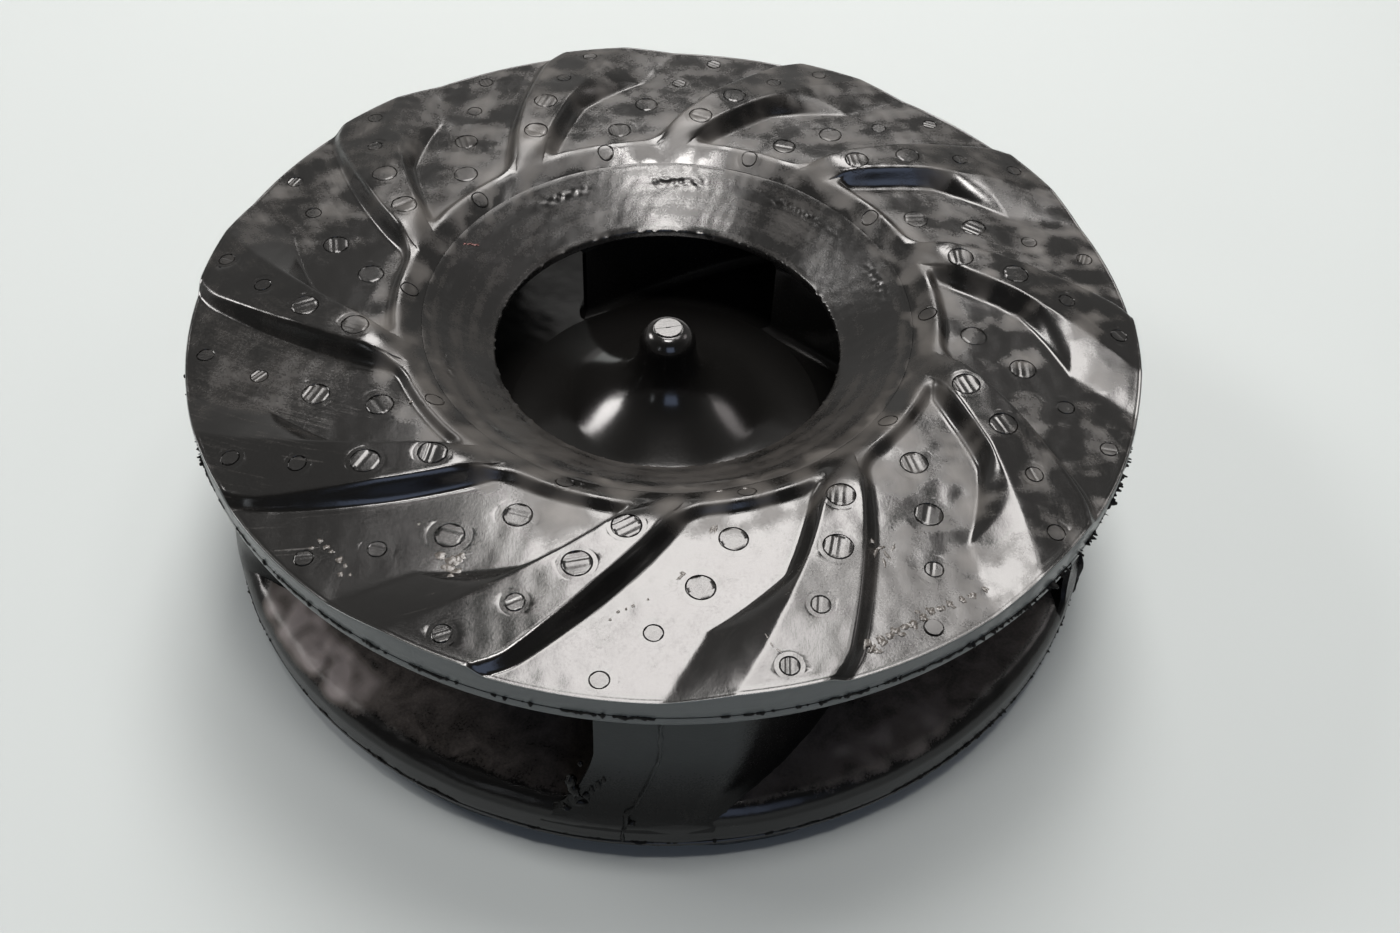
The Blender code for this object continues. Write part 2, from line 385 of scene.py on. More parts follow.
# Slot angle in degrees, number of slots and lift in millimetres of the pins that show best: row, place, sector
SEEN_PINS = {
    ("vane", 0, 1): (84, 3, 0.0),
    ("vane", 1, 1): (79, 2, 0.0),
    ("vane", 2, 1): (85, 1, 0.0),
    ("vane", 3, 1): (89, 2, 0.0),
    ("vane", 0, 0): (34, 3, 0.0),
    ("vane", 1, 0): (13, 2, 0.0),
    ("vane", 2, 0): (26, 1, 0.0),
    ("vane", 3, 0): (20, 2, 0.0),
    ("pocket", 0, 0): (-16, 1, 0.1),
    ("pocket", 1, 0): (-18, 1, 0.1),
    ("pocket", 2, 0): (-12, 1, 0.0),
    ("pocket", 3, 0): (8, 2, 0.1),
    ("pocket", 0, 1): (30, 0, 0.0),
    ("pocket", 1, 1): (20, 0, 0.0),
    ("pocket", 2, 1): (60, 0, -0.1),
    ("pocket", 3, 1): (40, 0, -0.1),
    ("pocket", 0, 2): (105, 2, 0.1),
    ("pocket", 1, 2): (77, 1, 0.1),
    ("pocket", 2, 2): (80, 1, 0.0),
    ("pocket", 3, 2): (50, 0, 0.7),
    ("vane", 0, 2): (108, 3, 0.1),
    ("vane", 1, 2): (113, 2, 0.0),
    ("vane", 2, 2): (110, 1, 0.1),
    ("vane", 3, 2): (120, 0, 0.0),
}


def pin_list():
    """Every pin's mark on the front face: x, y, radius, slot angle, slots, lift and tilt."""
    draw = np.random.default_rng(11)
    found = []
    for row, pins in (("vane", VANE_PINS), ("pocket", POCKET_PINS), ("ring", RING_PINS)):
        for place, (share, first, size) in enumerate(pins):
            for sector in range(EXPELLING_VANES):
                angle = draw.uniform(0, 180)
                slots = int(draw.integers(0, 4)) if row != "ring" else 0
                lift = draw.uniform(-0.1, 0.2)
                tilt = draw.uniform(-1.6, 1.6)
                shift = draw.normal(0, 0.25, 2) * MM
                if (row, place, sector) in SEEN_PINS:
                    angle, slots, lift = SEEN_PINS[(row, place, sector)]
                x, y = polar(share * OUTER_RADIUS, first + PITCH * sector)
                reach = COLLAR_REACH[row] * MM
                found.append((x + shift[0], y + shift[1], size * MM, angle, slots, lift * MM, tilt, reach))
    return found


def sink_pins(x, y, z):
    """Lowers the skin under each pin's mark, which its collar covers."""
    for px, py, size, *_ in pin_list():
        away = np.hypot(x - px, y - py)
        z = z - 1.5 * MM * (away < size + 0.4 * MM)
    return z


# Meshes


def add_object(name, data):
    """A new object in the scene."""
    added = bpy.data.objects.new(name, data)
    bpy.context.scene.collection.objects.link(added)
    return added


def add_piece(name, parts, material, nodes=(), sharp=42, layers=None, slot=RUBBER_SLOT):
    """A mesh piece in the row frame, smooth but for its sharp edges, that stands for the named nodes."""
    mesh = bpy.data.meshes.new(name)
    mesh.from_pydata(parts.points, [], parts.faces)
    mesh.validate()
    work = bmesh.new()
    work.from_mesh(mesh)
    bmesh.ops.recalc_face_normals(work, faces=work.faces)
    work.to_mesh(mesh)
    work.free()
    mesh.shade_smooth()
    mesh.set_sharp_from_angle(angle=math.radians(sharp))
    mesh.materials.append(material)
    x, y, z = np.array(parts.points).T
    for layer, formula in (layers or {}).items():
        values = formula(x, y, z)
        single = values.ndim == 1
        stored = mesh.attributes.new(layer, "FLOAT" if single else "FLOAT_VECTOR", "POINT")
        stored.data.foreach_set("value" if single else "vector", values.ravel())
    piece = add_object(name, mesh)
    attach(piece, "root")
    if nodes:
        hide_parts(*nodes)


def flow_place(x, y, z):
    """Place along and across the nearest vane's sweep, in metres."""
    radius = np.hypot(x, y)
    degrees = bearing(x, y)
    turned = np.mod(degrees - lead_edge(radius), 360)
    sector = np.floor(turned / PITCH)
    across = np.mod(turned, PITCH) * math.radians(1) * radius * 0.8
    return np.stack([radius, across, sector * 1.7], -1)


def band_bloom_and_reflection(x, y, z):
    """1 on the rim's band, where a bluish bloom lies on the rubber and its colour also paints the reflection of the
    pale floor.
    """
    return (np.hypot(x, y) > LAST_ROW + 0.1 * MM).astype(float)


def film_and_sheen_share(x, y, z):
    """How far a dull film lies on the front face: round the funnel's outer part and in places on the floors, with pale
    spots on the far vane noses that also paint their highlights.
    """
    radius = np.hypot(x, y) / OUTER_RADIUS
    degrees = bearing(x, y)
    near = step_mm(-20, -110, y)
    mottle = waves(x, y, 24, 57)
    border = 0.008 * waves(x, y, 22, 51) + 0.004 * waves(x, y, 9, 52) + 0.03 * near
    ring = smooth_step(0.512, 0.54, radius + border) * smooth_step(0.66, 0.615, radius) * (0.58 + 0.27 * mottle)
    spots = 0
    for px, py, size, strength in FILM_AND_SHEEN_SPOTS:
        spots = spots + strength * spot(x / MM, y / MM, px, py, size)
    outside = smooth_step(0.6, 0.7, radius)
    wiped = between(degrees, -150, -135, -122, -112) * outside
    far_side = np.maximum(step_mm(-30, 60, y), 0.3 * step_mm(-95, -150, x)) * outside
    patchy = 0.5 + 0.22 * waves(x, y, 30, 55) + 0.1 * waves(x, y, 10, 56)
    right = between(degrees, -62, -50, 0, 30) * outside
    return 1.3 * ring + spots - 0.33 * wiped + far_side * patchy + right * (1.6 * patchy - 0.62)


def streak_share(x, y, z):
    """How clearly the film lies in streaks along the vanes' sweep."""
    radius = np.hypot(x, y) / OUTER_RADIUS
    degrees = bearing(x, y)
    left = between(degrees, -160, -140, -120, -108)
    return smooth_step(0.6, 0.68, radius) * (0.35 + 1.7 * left)


def vane_bloom(x, y, z):
    """The bluish bloom on the ends of the main vanes."""
    radius = np.hypot(x, y)
    return 0.38 * step_mm(213, 217, radius) * step_mm(42, 80, z)


def funnel_film(x, y, z):
    """The film on the eye's funnel: the ring's scalloped border and dull rings further in."""
    radius = np.hypot(x, y)
    inside = step_mm(119, 113, radius)
    rings = 0.5 * waves(radius, 0 * y, 11, 53) + 0.35 * waves(x, y, 34, 54)
    near = step_mm(-20, -80, y)
    return film_and_sheen_share(x, y, z) + inside * (0.16 + 0.13 * rings + 0.3 * near)


def funnel_flow(x, y, z):
    """Place round and across the funnel, so that streaks run round the eye."""
    radius = np.hypot(x, y)
    return np.stack([0.1 * x / radius, radius, 1.8 * y / radius], -1)


def funnel_streak(x, y, z):
    """How clearly the film lies in streaks round the eye."""
    return 0.3 * step_mm(122, 112, np.hypot(x, y))


def back_film_and_painted_light(x, y, z):
    """The brownish film on the back shroud, stronger inside the gap as painted fill light where the front shroud shades
    it and taken off near the hub as painted shade, and the dust on its edge at the left, which also paints the
    highlight along the rounded rim.
    """
    radius = np.hypot(x, y)
    degrees = bearing(x, y)
    edge = between(radius, 198 * MM, 205 * MM, 219 * MM, 223.3 * MM)
    # Dust on the rim's edge, which also paints the bright highlight along the rounded rim at the left.
    dusty_and_lit = between(degrees, -152, -145, -132, -126) + 0.35 * between(degrees, -72, -66, -56, -48)
    blotch = np.clip(0.8 + 0.3 * waves(x, y, 16, 58), 0, 1.6)
    # Stronger film inside the gap, where the front shroud shades it, as painted fill light; none near the hub, as
    # painted shade.
    inside = 0.5 * step_mm(221, 212, radius) - 1.2 * step_mm(172, 140, radius)
    return inside - 0.1 + 1.6 * edge * dusty_and_lit * blotch


def vane_film_and_shade(x, y, z):
    """Keeps the film off the main vanes inside the eye, which darkens them there as painted shade."""
    return -0.9 * step_mm(165, 120, np.hypot(x, y))


FRONT_LAYERS = {"film": film_and_sheen_share, "chalk": band_bloom_and_reflection, "flow": flow_place, "streak": streak_share}
FUNNEL_LAYERS = {"film": funnel_film, "flow": funnel_flow, "streak": funnel_streak}
BACK_LAYERS = {"film": back_film_and_painted_light}
VANE_LAYERS = {"chalk": vane_bloom, "film": vane_film_and_shade}

# Films, wiped places and painted highlights that show best: x, y, size in millimetres and strength
FILM_AND_SHEEN_SPOTS = (
    (-45, -138, 12, 1.2), (-85, -160, 10, 0.3), (105, -165, 34, 0.65), (98, -132, 12, -0.7), (118, -100, 26, 0.4),
    (5, -175, 40, 0.25), (60, -170, 20, 0.3), (-45, -180, 26, 0.3), (150, -120, 30, 0.1),
    (-150, 20, 30, -0.3), (-180, -60, 30, 0.5), (120, 130, 40, 0.1), (-105, 105, 20, 0.35),
    # Pale spots on the far and left vane noses, round their first pins: partly film, partly painted highlight.
    (-76, 124, 13, 1.1), (10, 146, 14, 1.1), (-128, 62, 11, 1.0), (-140, -22, 10, 1.0),
)


def tube_faces(rows, columns, closed_rows):
    """Quads of a grid whose columns wrap round, and whose rows wrap too if they are closed."""
    row = np.arange(rows if closed_rows else rows - 1)
    here = row[:, None] * columns
    there = ((row + 1) % rows)[:, None] * columns
    column = np.arange(columns)[None, :]
    after = (column + 1) % columns
    quads = np.stack([here + column, here + after, there + after, there + column], -1)
    return quads.reshape(-1, 4)


class Parts:
    """Points and faces gathered from several shapes."""

    def __init__(self):
        self.points = []
        self.faces = []

    def add(self, points, faces):
        start = len(self.points)
        self.points.extend(map(tuple, points))
        self.faces.extend(tuple(int(i) + start for i in face) for face in faces)

    def ring(self, rows):
        """A closed ring from rows of points, each row going once round."""
        rows = np.array(rows)
        self.add(rows.reshape(-1, 3), tube_faces(rows.shape[0], rows.shape[1], True))

    def bar(self, rings):
        """A closed bar from loops of points, with flat ends."""
        rings = np.array(rings)
        count = rings.shape[1]
        faces = [tuple(face) for face in tube_faces(rings.shape[0], count, False)]
        faces.append(tuple(range(count - 1, -1, -1)))
        faces.append(tuple(range((rings.shape[0] - 1) * count, rings.shape[0] * count)))
        self.add(rings.reshape(-1, 3), faces)

    def slab(self, top, bottom):
        """A closed plate between two grids of points of the same size."""
        rows, columns = top.shape[:2]
        index = np.arange(rows * columns).reshape(rows, columns)
        below = index + rows * columns
        faces = []
        for i in range(rows - 1):
            for j in range(columns - 1):
                faces.append((index[i, j], index[i, j + 1], index[i + 1, j + 1], index[i + 1, j]))
                faces.append((below[i, j], below[i + 1, j], below[i + 1, j + 1], below[i, j + 1]))
        edge = list(index[0, :]) + list(index[1:, -1]) + list(index[-1, -2::-1]) + list(index[-2:0:-1, 0])
        for a, b in zip(edge, edge[1:] + edge[:1]):
            faces.append((b, a, a + rows * columns, b + rows * columns))
        self.add(np.concatenate([top.reshape(-1, 3), bottom.reshape(-1, 3)]), faces)


def add_ring(name, rows, material, nodes, **more):
    """A piece that is one closed ring, from rows of points that each go once round."""
    parts = Parts()
    parts.ring(rows)
    add_piece(name, parts, material, nodes, **more)


def turned_rows(profile, columns):
    """Rows of points for a profile of (radius, z) turned round the axis."""
    return [points_at(*polar(radius, all_round(columns)), z) for radius, z in profile]


def arc(centre, radius, start, end, steps):
    """Points on a circle of the (radius, z) plane, angles in degrees."""
    angles = np.radians(spread(start, end, steps))
    return list(zip(centre[0] + radius * np.cos(angles), centre[1] + radius * np.sin(angles)))


def underside(radius):
    """Height of the front shroud's lower face."""
    s = sizes()
    low = LIP_TOP - LIP_THICKNESS
    return low + (s.rim_low - low) * (radius - EYE_RADIUS) / (s.outer_radius - EYE_RADIUS)


def funnel_height(radius):
    """Height of the eye's funnel, which is a plain cone."""
    return POCKET_TOP + FUNNEL_SLOPE * (radius - POCKET_TOP_RADIUS)


def back_height(radius):
    """Height of the back shroud's upper face, which rises towards the hub."""
    inward = np.maximum(0, (MAIN_END_RADIUS - radius) / (MAIN_END_RADIUS - HUB_RADIUS))
    return BACK_TOP + BACK_RISE * inward**2


def build_front_face(material):
    """The pockets, the leaning vanes, the rim band and the underside out to the rim."""
    s = sizes()
    rows = []
    for radius in band_radii(FRONT_BANDS):
        angles = sector_columns(radius)
        x, y = polar(radius, angles)
        top = front_height(np.full(angles.shape, radius), angles)
        rows.append(points_at(x, y, sink_pins(x, y, top)))
    x, y = polar(1, angles)
    for out, down in RIM_EDGE:
        radius = LAST_ROW + out * MM
        rows.append(points_at(x * radius, y * radius, top - down * MM))
    for out, up in RIM_BAND:
        radius = RIM_SKIN + out * MM
        rows.append(points_at(x * radius, y * radius, s.floor_height + up * MM))
    for radius in spread(222 * MM, FUNNEL_JOINT, 9):
        rows.append(points_at(*polar(radius, sector_columns(radius)), underside(radius)))
    nodes = ["front_shroud"] + [f"front_vane_{i + 1}" for i in range(EXPELLING_VANES)]
    add_ring("front_face", rows, material, nodes, layers=FRONT_LAYERS)


def build_funnel(material):
    """The eye's funnel with its rounded lip, rough band and ragged edge."""
    s = sizes()
    angles = all_round(720)
    radii = np.concatenate([spread(117.85, 112, 5), spread(111.5, 106.5, 8), spread(105.5, 87, 14)]) * MM
    profile = [(radius, funnel_height(radius)) for radius in radii]
    profile[0] = (profile[0][0], profile[0][1] - 0.25 * MM)
    profile += arc((EYE_RADIUS + LIP_ROUND, LIP_TOP - 2.19 * MM), LIP_ROUND, 122, 188, 7)
    profile += in_metres(FUNNEL_LIP)
    profile += [(radius, underside(radius)) for radius in spread(89 * MM, 117.85 * MM, 5)]
    rows = []
    for i, (radius, z) in enumerate(profile):
        x, y = polar(radius, angles)
        if i < len(radii):
            band = ridge(radius, 109 * MM, 1.8 * MM)
            bite = waves(x, y, 4.5, 21) * np.clip(waves(x, y, 60, 22), 0, 1)
            z = z + band * 0.2 * MM * bite
            z = z + s.unevenness * (0.16 * MM * waves(x, y, 40, 3) + 0.03 * MM * waves(x, y, 9, 5))
        edge = ridge(z, LIP_TOP - 1.6 * MM, 0.5 * MM) * (radius < EYE_RADIUS + LIP_ROUND)
        rag = np.clip(waves(x, y, 7, 23) + 0.7 * waves(x, y, 2.6, 24) - 0.7, 0, 1.5)
        rows.append(points_at(*polar(radius - edge * rag * 0.5 * MM, angles), z))
    add_ring("eye_funnel", rows, material, ["front_shroud"], layers=FUNNEL_LAYERS)


def face_level(x, y):
    """Height of the front face or the funnel at x and y."""
    return front_height(np.hypot(x, y), bearing(x, y))


def disc_grid(rows, columns, radius, degrees, px=0, py=0):
    """Distance across its slots, x and y of points over a turned disc: rows in metres, columns as shares."""
    across = rows[:, None] * np.ones(len(columns))
    along = np.sqrt(radius**2 - across**2) * columns[None, :]
    turn = math.radians(degrees)
    x = px - across * math.sin(turn) + along * math.cos(turn)
    y = py + across * math.cos(turn) + along * math.sin(turn)
    return across, x, y


# Rows across a pin's disc and points along each row, as shares of the disc's radius and of the row
DISC_ROWS = np.array(
    [-0.985, -0.9, -0.7, -0.5, -0.42, -0.26, -0.16, -0.06, 0.06, 0.16, 0.26, 0.42, 0.5, 0.58, 0.7, 0.8, 0.92, 0.985]
)
DISC_COLUMNS = np.array([-1, -0.94, -0.7, -0.35, 0, 0.35, 0.7, 0.94, 1])

# Slots of a disc for each number of them: from and to, as shares of the disc's radius
SLOT_SETS = ((), ((0.06, 0.26),), ((-0.26, -0.06), (0.26, 0.42)), ((-0.5, -0.26), (0.06, 0.26), (0.58, 0.7)))
SLOT_DEPTH = 0.16 * MM
SLOT_MARGIN = 0.01
BEYOND_SLOTS_RISE = 0.1 * MM
DISC_EDGE_DROP = 0.3 * MM


def build_pins(material, skin):
    """The moulded marks of the cored pins: a slotted disc inside a fine groove, with a collar flush with the skin."""
    parts = Parts()
    collars = Parts()
    around = all_round(44)
    for px, py, size, angle, slots, lift, tilt, reach in pin_list():
        disc = size - 0.2 * MM
        across, x, y = disc_grid(DISC_ROWS * disc, DISC_COLUMNS, disc, angle, px, py)
        level = face_level(x, y)
        z = held_down(level + lift + math.tan(math.radians(tilt)) * across)
        depth = np.zeros(len(DISC_ROWS))
        for low, high in SLOT_SETS[slots]:
            depth[(DISC_ROWS > low - SLOT_MARGIN) & (DISC_ROWS < high + SLOT_MARGIN)] = SLOT_DEPTH
        if slots:
            depth[DISC_ROWS > SLOT_SETS[slots][-1][1] + SLOT_MARGIN] -= BEYOND_SLOTS_RISE
        z = z - depth[:, None]
        z[:, [0, -1]] -= DISC_EDGE_DROP
        z[[0, -1]] -= DISC_EDGE_DROP
        parts.slab(points_at(x, y, z), points_at(x, y, level - 1.4 * MM))
        rows = []
        collar = [(0.18 * MM, -1.0), (0.18 * MM, -0.12), (0.3 * MM, 0.015)]
        collar += [(out, 0.015) for out in spread(0.8 * MM, reach, max(2, round(reach / (0.8 * MM)) - 1))]
        for out, up in collar + [(reach + 0.05 * MM, -0.4)]:
            cx, cy = polar(size + out, around)
            rows.append(points_at(px + cx, py + cy, held_down(face_level(px + cx, py + cy) + up * MM)))
        collars.ring(rows)
    add_piece("pin_marks", parts, material, layers=FRONT_LAYERS)
    add_piece("pin_collars", collars, skin, layers=FRONT_LAYERS)


def add_blob(parts, place, size, turn, seed):
    """A small torn lump of rubber lying on a surface."""
    draw = np.random.default_rng(seed)
    around = all_round(9)
    rings = []
    for up, wide in ((-0.5, 0.9), (0.05, 1.0), (0.5, 0.85), (0.85, 0.5), (1.0, 0.12)):
        reach = wide * (1 + draw.uniform(-0.45, 0.45, 9))
        x, y = polar(reach, around)
        x, y = x * size[0], y * size[1]
        c, d = math.cos(turn), math.sin(turn)
        z = place[2] + size[2] * (up + draw.uniform(-0.12, 0.12, 9))
        rings.append(points_at(place[0] + c * x - d * y, place[1] + d * x + c * y, held_down(z)))
    parts.bar(rings)


# Lumps and scratch ridges on the front face: x, y, length, width, height in millimetres, turn in degrees
LUMPS = (
    (79.8, -195.2, 2.0, 1.0, 0.7, 20), (82.4, -197.0, 2.6, 0.7, 0.6, 60), (85.8, -193.1, 2.2, 0.8, 0.5, 110),
    (89.9, -190.7, 1.5, 0.9, 0.7, 30), (92.9, -188.2, 2.2, 0.7, 0.6, 60), (96.3, -186.2, 1.3, 0.9, 0.6, 10),
    (99.6, -184.6, 1.9, 0.8, 0.7, 75), (103.5, -181.6, 1.4, 1.0, 0.8, 40), (107.4, -178.6, 1.8, 0.7, 0.6, 90),
    (111.6, -177.0, 1.2, 0.8, 0.5, 10), (115.5, -174.4, 1.7, 0.6, 0.5, 70), (120.5, -172.3, 1.2, 0.7, 0.5, 30),
    (125.3, -170.2, 1.5, 0.6, 0.5, 65), (130.5, -167.0, 1.1, 0.7, 0.4, 0), (101.5, -178.9, 0.9, 0.7, 0.5, 0),
    (86.9, -151.0, 3.4, 0.45, 0.35, 62), (89.8, -146.7, 2.2, 0.4, 0.3, 15), (92.3, -150.8, 3.2, 0.45, 0.35, 118),
    (95.2, -146.5, 2.0, 0.4, 0.3, 60), (90.7, -154.5, 2.6, 0.4, 0.3, 95), (85.6, -146.3, 1.8, 0.4, 0.3, 130),
    (20.5, -139.5, 2.6, 0.5, 0.3, 70), (22.0, -139.2, 2.2, 0.35, 0.25, 75), (7.9, -164.4, 2.2, 0.45, 0.3, 50),
    (8.7, -162.9, 1.5, 0.5, 0.35, 140), (-19.6, -186.3, 0.6, 0.4, 0.25, 0), (-16.6, -182.4, 0.7, 0.5, 0.3, 40),
    (-13.5, -180.8, 0.5, 0.4, 0.25, 0), (-10.8, -179.3, 0.8, 0.4, 0.3, 100), (-5.0, -176.2, 0.5, 0.4, 0.2, 0),
    (-89.6, -156.8, 2.0, 1.2, 0.4, 10), (-84.5, -158.7, 2.6, 1.4, 0.45, 50), (-80.8, -156.5, 1.6, 1.0, 0.35, 80),
    (-85.6, -162.8, 2.0, 1.0, 0.4, 120), (-81.4, -164.7, 1.8, 1.2, 0.4, 20), (-83.3, -168.8, 1.6, 0.9, 0.3, 60),
    (-138.9, -150.7, 0.8, 0.6, 0.4, 0), (-135.8, -154.2, 1.2, 0.6, 0.5, 50), (-133.4, -156.2, 0.7, 0.6, 0.4, 0),
    (-129.9, -160.2, 1.3, 0.7, 0.6, 30), (-126.6, -163.1, 0.8, 0.5, 0.4, 70), (-127.9, -167.2, 1.0, 0.6, 0.4, 20),
    (-141.4, -154.4, 0.7, 0.5, 0.4, 0), (-123.9, -167.6, 0.6, 0.5, 0.3, 0), (-100.4, -140.6, 0.7, 0.5, 0.3, 0),
    (-113.0, -70.6, 1.3, 0.5, 0.35, 40), (23.9, -117.4, 1.8, 0.4, 0.3, 20), (34.6, -116.5, 1.3, 0.4, 0.3, 160),
    (41.1, -196.8, 1.6, 0.18, 0.12, -60), (42.6, -200.0, 1.8, 0.18, 0.12, -62), (45.0, -202.6, 1.8, 0.18, 0.12, -35),
)


def build_scuffs(material):
    """The torn lumps, crumbs and scratch ridges on the front face."""
    parts = Parts()
    for i, (px, py, long, wide, tall, turn) in enumerate(LUMPS):
        z = float(face_level(np.array(px * MM), np.array(py * MM)))
        for part in range(4 if tall >= 0.4 else 1):
            shift = np.random.default_rng(i * 7 + part).uniform(-0.9, 0.9, 2) * long * MM * (part > 0)
            size = np.array([long, wide * 1.7, tall * 0.8]) * MM * (0.75 if part else 0.95)
            place = (px * MM + shift[0], py * MM + shift[1], z)
            add_blob(parts, place, size, math.radians(turn + 40 * part), i * 5 + part)
    add_piece("scuffs", parts, material, sharp=60)


def build_fleck(material):
    """The small red paint mark on the funnel."""
    parts = Parts()
    for i, (along, size) in enumerate(((-3.2, 1.3), (-1.2, 1.6), (0.9, 1.2), (2.6, 1.5), (4.3, 0.6))):
        x = (-101.4 + along * 0.86) * MM
        y = (47.6 + along * 0.36) * MM
        z = funnel_height(math.hypot(x, y)) + 0.05 * MM
        add_blob(parts, (x, y, z), np.array([size, 0.45, 0.16]) * MM, math.radians(22 + 8 * (i % 2)), 90 + i)
    add_piece("red_fleck", parts, material, sharp=60)


# Where much flash was left on the rims: angle and half width in degrees
TORN_PLACES = (
    (-91.7, 0.7), (-81.5, 2.2), (-71.3, 4.0), (-65.0, 2.5), (-58.5, 2.5), (-52.0, 4.0), (-43.0, 4.0), (-113.5, 2.5),
    (-119.0, 2.0), (-125.0, 3.0), (-131.0, 1.5), (-152.0, 4.0), (-25.0, 5.0),
)


def flash_ring(parts, radius, level, reach, tall, cover, seed, shreds):
    """Ragged mould flash along a parting line, torn off in places."""
    angles = all_round(2600)
    x, y = polar(radius, angles)
    torn = 0.7 * waves(x, y, 46, seed) + 0.6 * waves(x, y, 14, seed + 1) + 0.5 * waves(x, y, 4, seed + 2)
    for place, half in TORN_PLACES:
        torn = torn + 1.6 * ridge(angles, np.mod(place, 360), half)
    keep = smooth_step(cover, cover + 0.3, torn)
    fray = 0.5 + 0.5 * np.clip(waves(x, y, 2.4, seed + 3), -1, 1)
    fray = keep * (0.4 + 0.6 * fray * np.clip(0.5 + 0.6 * waves(x, y, 9, seed + 4), 0.2, 1.4))
    droop = 0.4 * MM * waves(x, y, 7, seed + 5) * keep
    turned = np.mod(angles + 180, 360) - 180
    shred = between(turned, -62, -48, -24, -16) + between(turned, -172, -168, -156, -150)
    teeth = np.clip(waves(x, y, 1.9, seed + 6) + 0.6 * waves(x, y, 8, seed + 7), 0, 2) * shred * shreds
    ahead, aside = polar(1, angles)
    farthest = FLASH_LIMIT / np.maximum(np.abs(ahead), np.abs(aside))
    rows = [points_at(*polar(radius - MM, angles), level + up * 0.2 * MM) for up in (-1.0, 1.0)]
    for out, up in ((0.0, 1.0), (1.0, 0.35), (1.0, -0.5), (0.0, -1.0)):
        edge = radius - 0.12 * MM + out * (reach * fray + teeth * 1.1 * MM) + (0.16 * MM) * keep
        z = level + up * (0.07 * MM + tall * fray) + droop
        rows.append(points_at(*polar(np.minimum(edge, farthest), angles), z))
    parts.ring(rows)


def build_flash(material):
    """The black flash on the two shrouds' rims."""
    parts = Parts()
    flash_ring(parts, RIM_SKIN, level=117.0 * MM, reach=0.7 * MM, tall=1.5 * MM, cover=0.5, seed=61, shreds=1.0)
    flash_ring(parts, BACK_RADIUS, level=14.3 * MM, reach=0.45 * MM, tall=0.6 * MM, cover=0.4, seed=81, shreds=0.4)
    add_piece("rim_flash", parts, material, sharp=60)


def build_back_shroud(material):
    """The dished upper face, the rounded rim and its band down to the parting line."""
    angles = all_round(600)
    profile = [(radius, back_height(radius)) for radius in band_radii(BACK_BANDS)]
    profile += arc(BACK_RIM_CENTRE, BACK_ROUND, 82, 0, 16)
    profile += [(BACK_RADIUS, z * MM) for z in BACK_RIM_LEVELS]
    profile += [(BACK_RADIUS - 0.1 * MM, 14.6 * MM), (BACK_RADIUS - 0.6 * MM, PARTING_Z), (BACK_INNER, PARTING_Z)]
    rows = []
    for radius, z in profile:
        x, y = polar(radius, angles)
        level, out = z, radius
        if z > 16 * MM:
            uneven = 0.12 * MM * waves(x, y, 38, 31) + 0.05 * MM * waves(x, y, 12, 32)
            blisters = np.clip(waves(x, y, 7.5, 33) - 0.2, 0, 2) * np.clip(waves(x, y, 70, 34) + 0.1, 0, 1)
            left = between(bearing(x, y), -168, -158, -130, -118)
            right = between(bearing(x, y), -78, -70, -58, -52)
            pits = np.clip(waves(x, y, 4.2, 36) - 0.9, 0, 1) * (left + right)
            outer = between(radius, 192 * MM, 202 * MM, 214 * MM, 222 * MM)
            level = level + uneven + outer * ((0.25 * left + 0.12) * blisters - 0.3 * pits) * MM
        if z < 33 * MM:
            out = out - 0.1 * MM + 0.08 * MM * waves(x, y, 30, 35)
        rows.append(points_at(*polar(out, angles), level))
    add_ring("back_shroud_skin", rows, material, ["back_shroud"], layers=BACK_LAYERS)


def build_rear_face(material):
    """The rear floor with its leaning vanes, below the back shroud's parting line."""
    full = BACK_FLOOR - CREST_CLEAR
    rows = []
    for radius in band_radii(REAR_BANDS):
        angles = sector_columns(radius)
        x, y = polar(radius, angles)
        share, _ = vane_shape(np.full(angles.shape, radius), angles, REAR_VANE_END, False)
        height = np.minimum(rise(radius, full), full) * share
        uneven = np.abs(waves(x, y, 30, 41)) * 0.06 * MM
        rows.append(points_at(x, y, BACK_FLOOR - height + uneven))
    for radius, z in in_metres(REAR_EDGE):
        rows.append(points_at(*polar(radius, sector_columns(radius)), z))
    nodes = ["back_shroud"] + [f"rear_vane_{i + 1}" for i in range(EXPELLING_VANES)]
    add_ring("rear_face", rows[::-1], material, nodes)


def back_surface(radius):
    """Height of the back shroud's upper side, its rounded rim included."""
    past = np.clip((radius - (BACK_RADIUS - BACK_ROUND)) / BACK_ROUND, 0, 1)
    return back_height(radius) - BACK_ROUND * (1 - np.sqrt(1 - past**2))


def low_share(level):
    """1 at a main vane's foot, falling to 0 where its end stops flaring."""
    return max(0.0, 1 - level / FLARE_LEVEL)


def vane_end(low):
    """Radius of a main vane's end, which flares towards its foot."""
    return MAIN_END_RADIUS + FOOT_FLARE * low**2


# Points along a main vane from nose to end, and its outlines from foot to root, as shares
VANE_ALONG = np.array(
    [0, 0.006, 0.02, 0.045, 0.08, 0.13, 0.19, 0.26, 0.34, 0.43, 0.52, 0.61, 0.7, 0.78, 0.85, 0.91, 0.95, 0.978, 0.99, 1]
)
VANE_LEVELS = (
    -0.02, 0.0, 0.01, 0.025, 0.05, 0.085, 0.13, 0.2, 0.3, 0.4,
    0.52, 0.65, 0.77, 0.86, 0.92, 0.95, 0.975, 0.99, 1.0, 1.02,
)


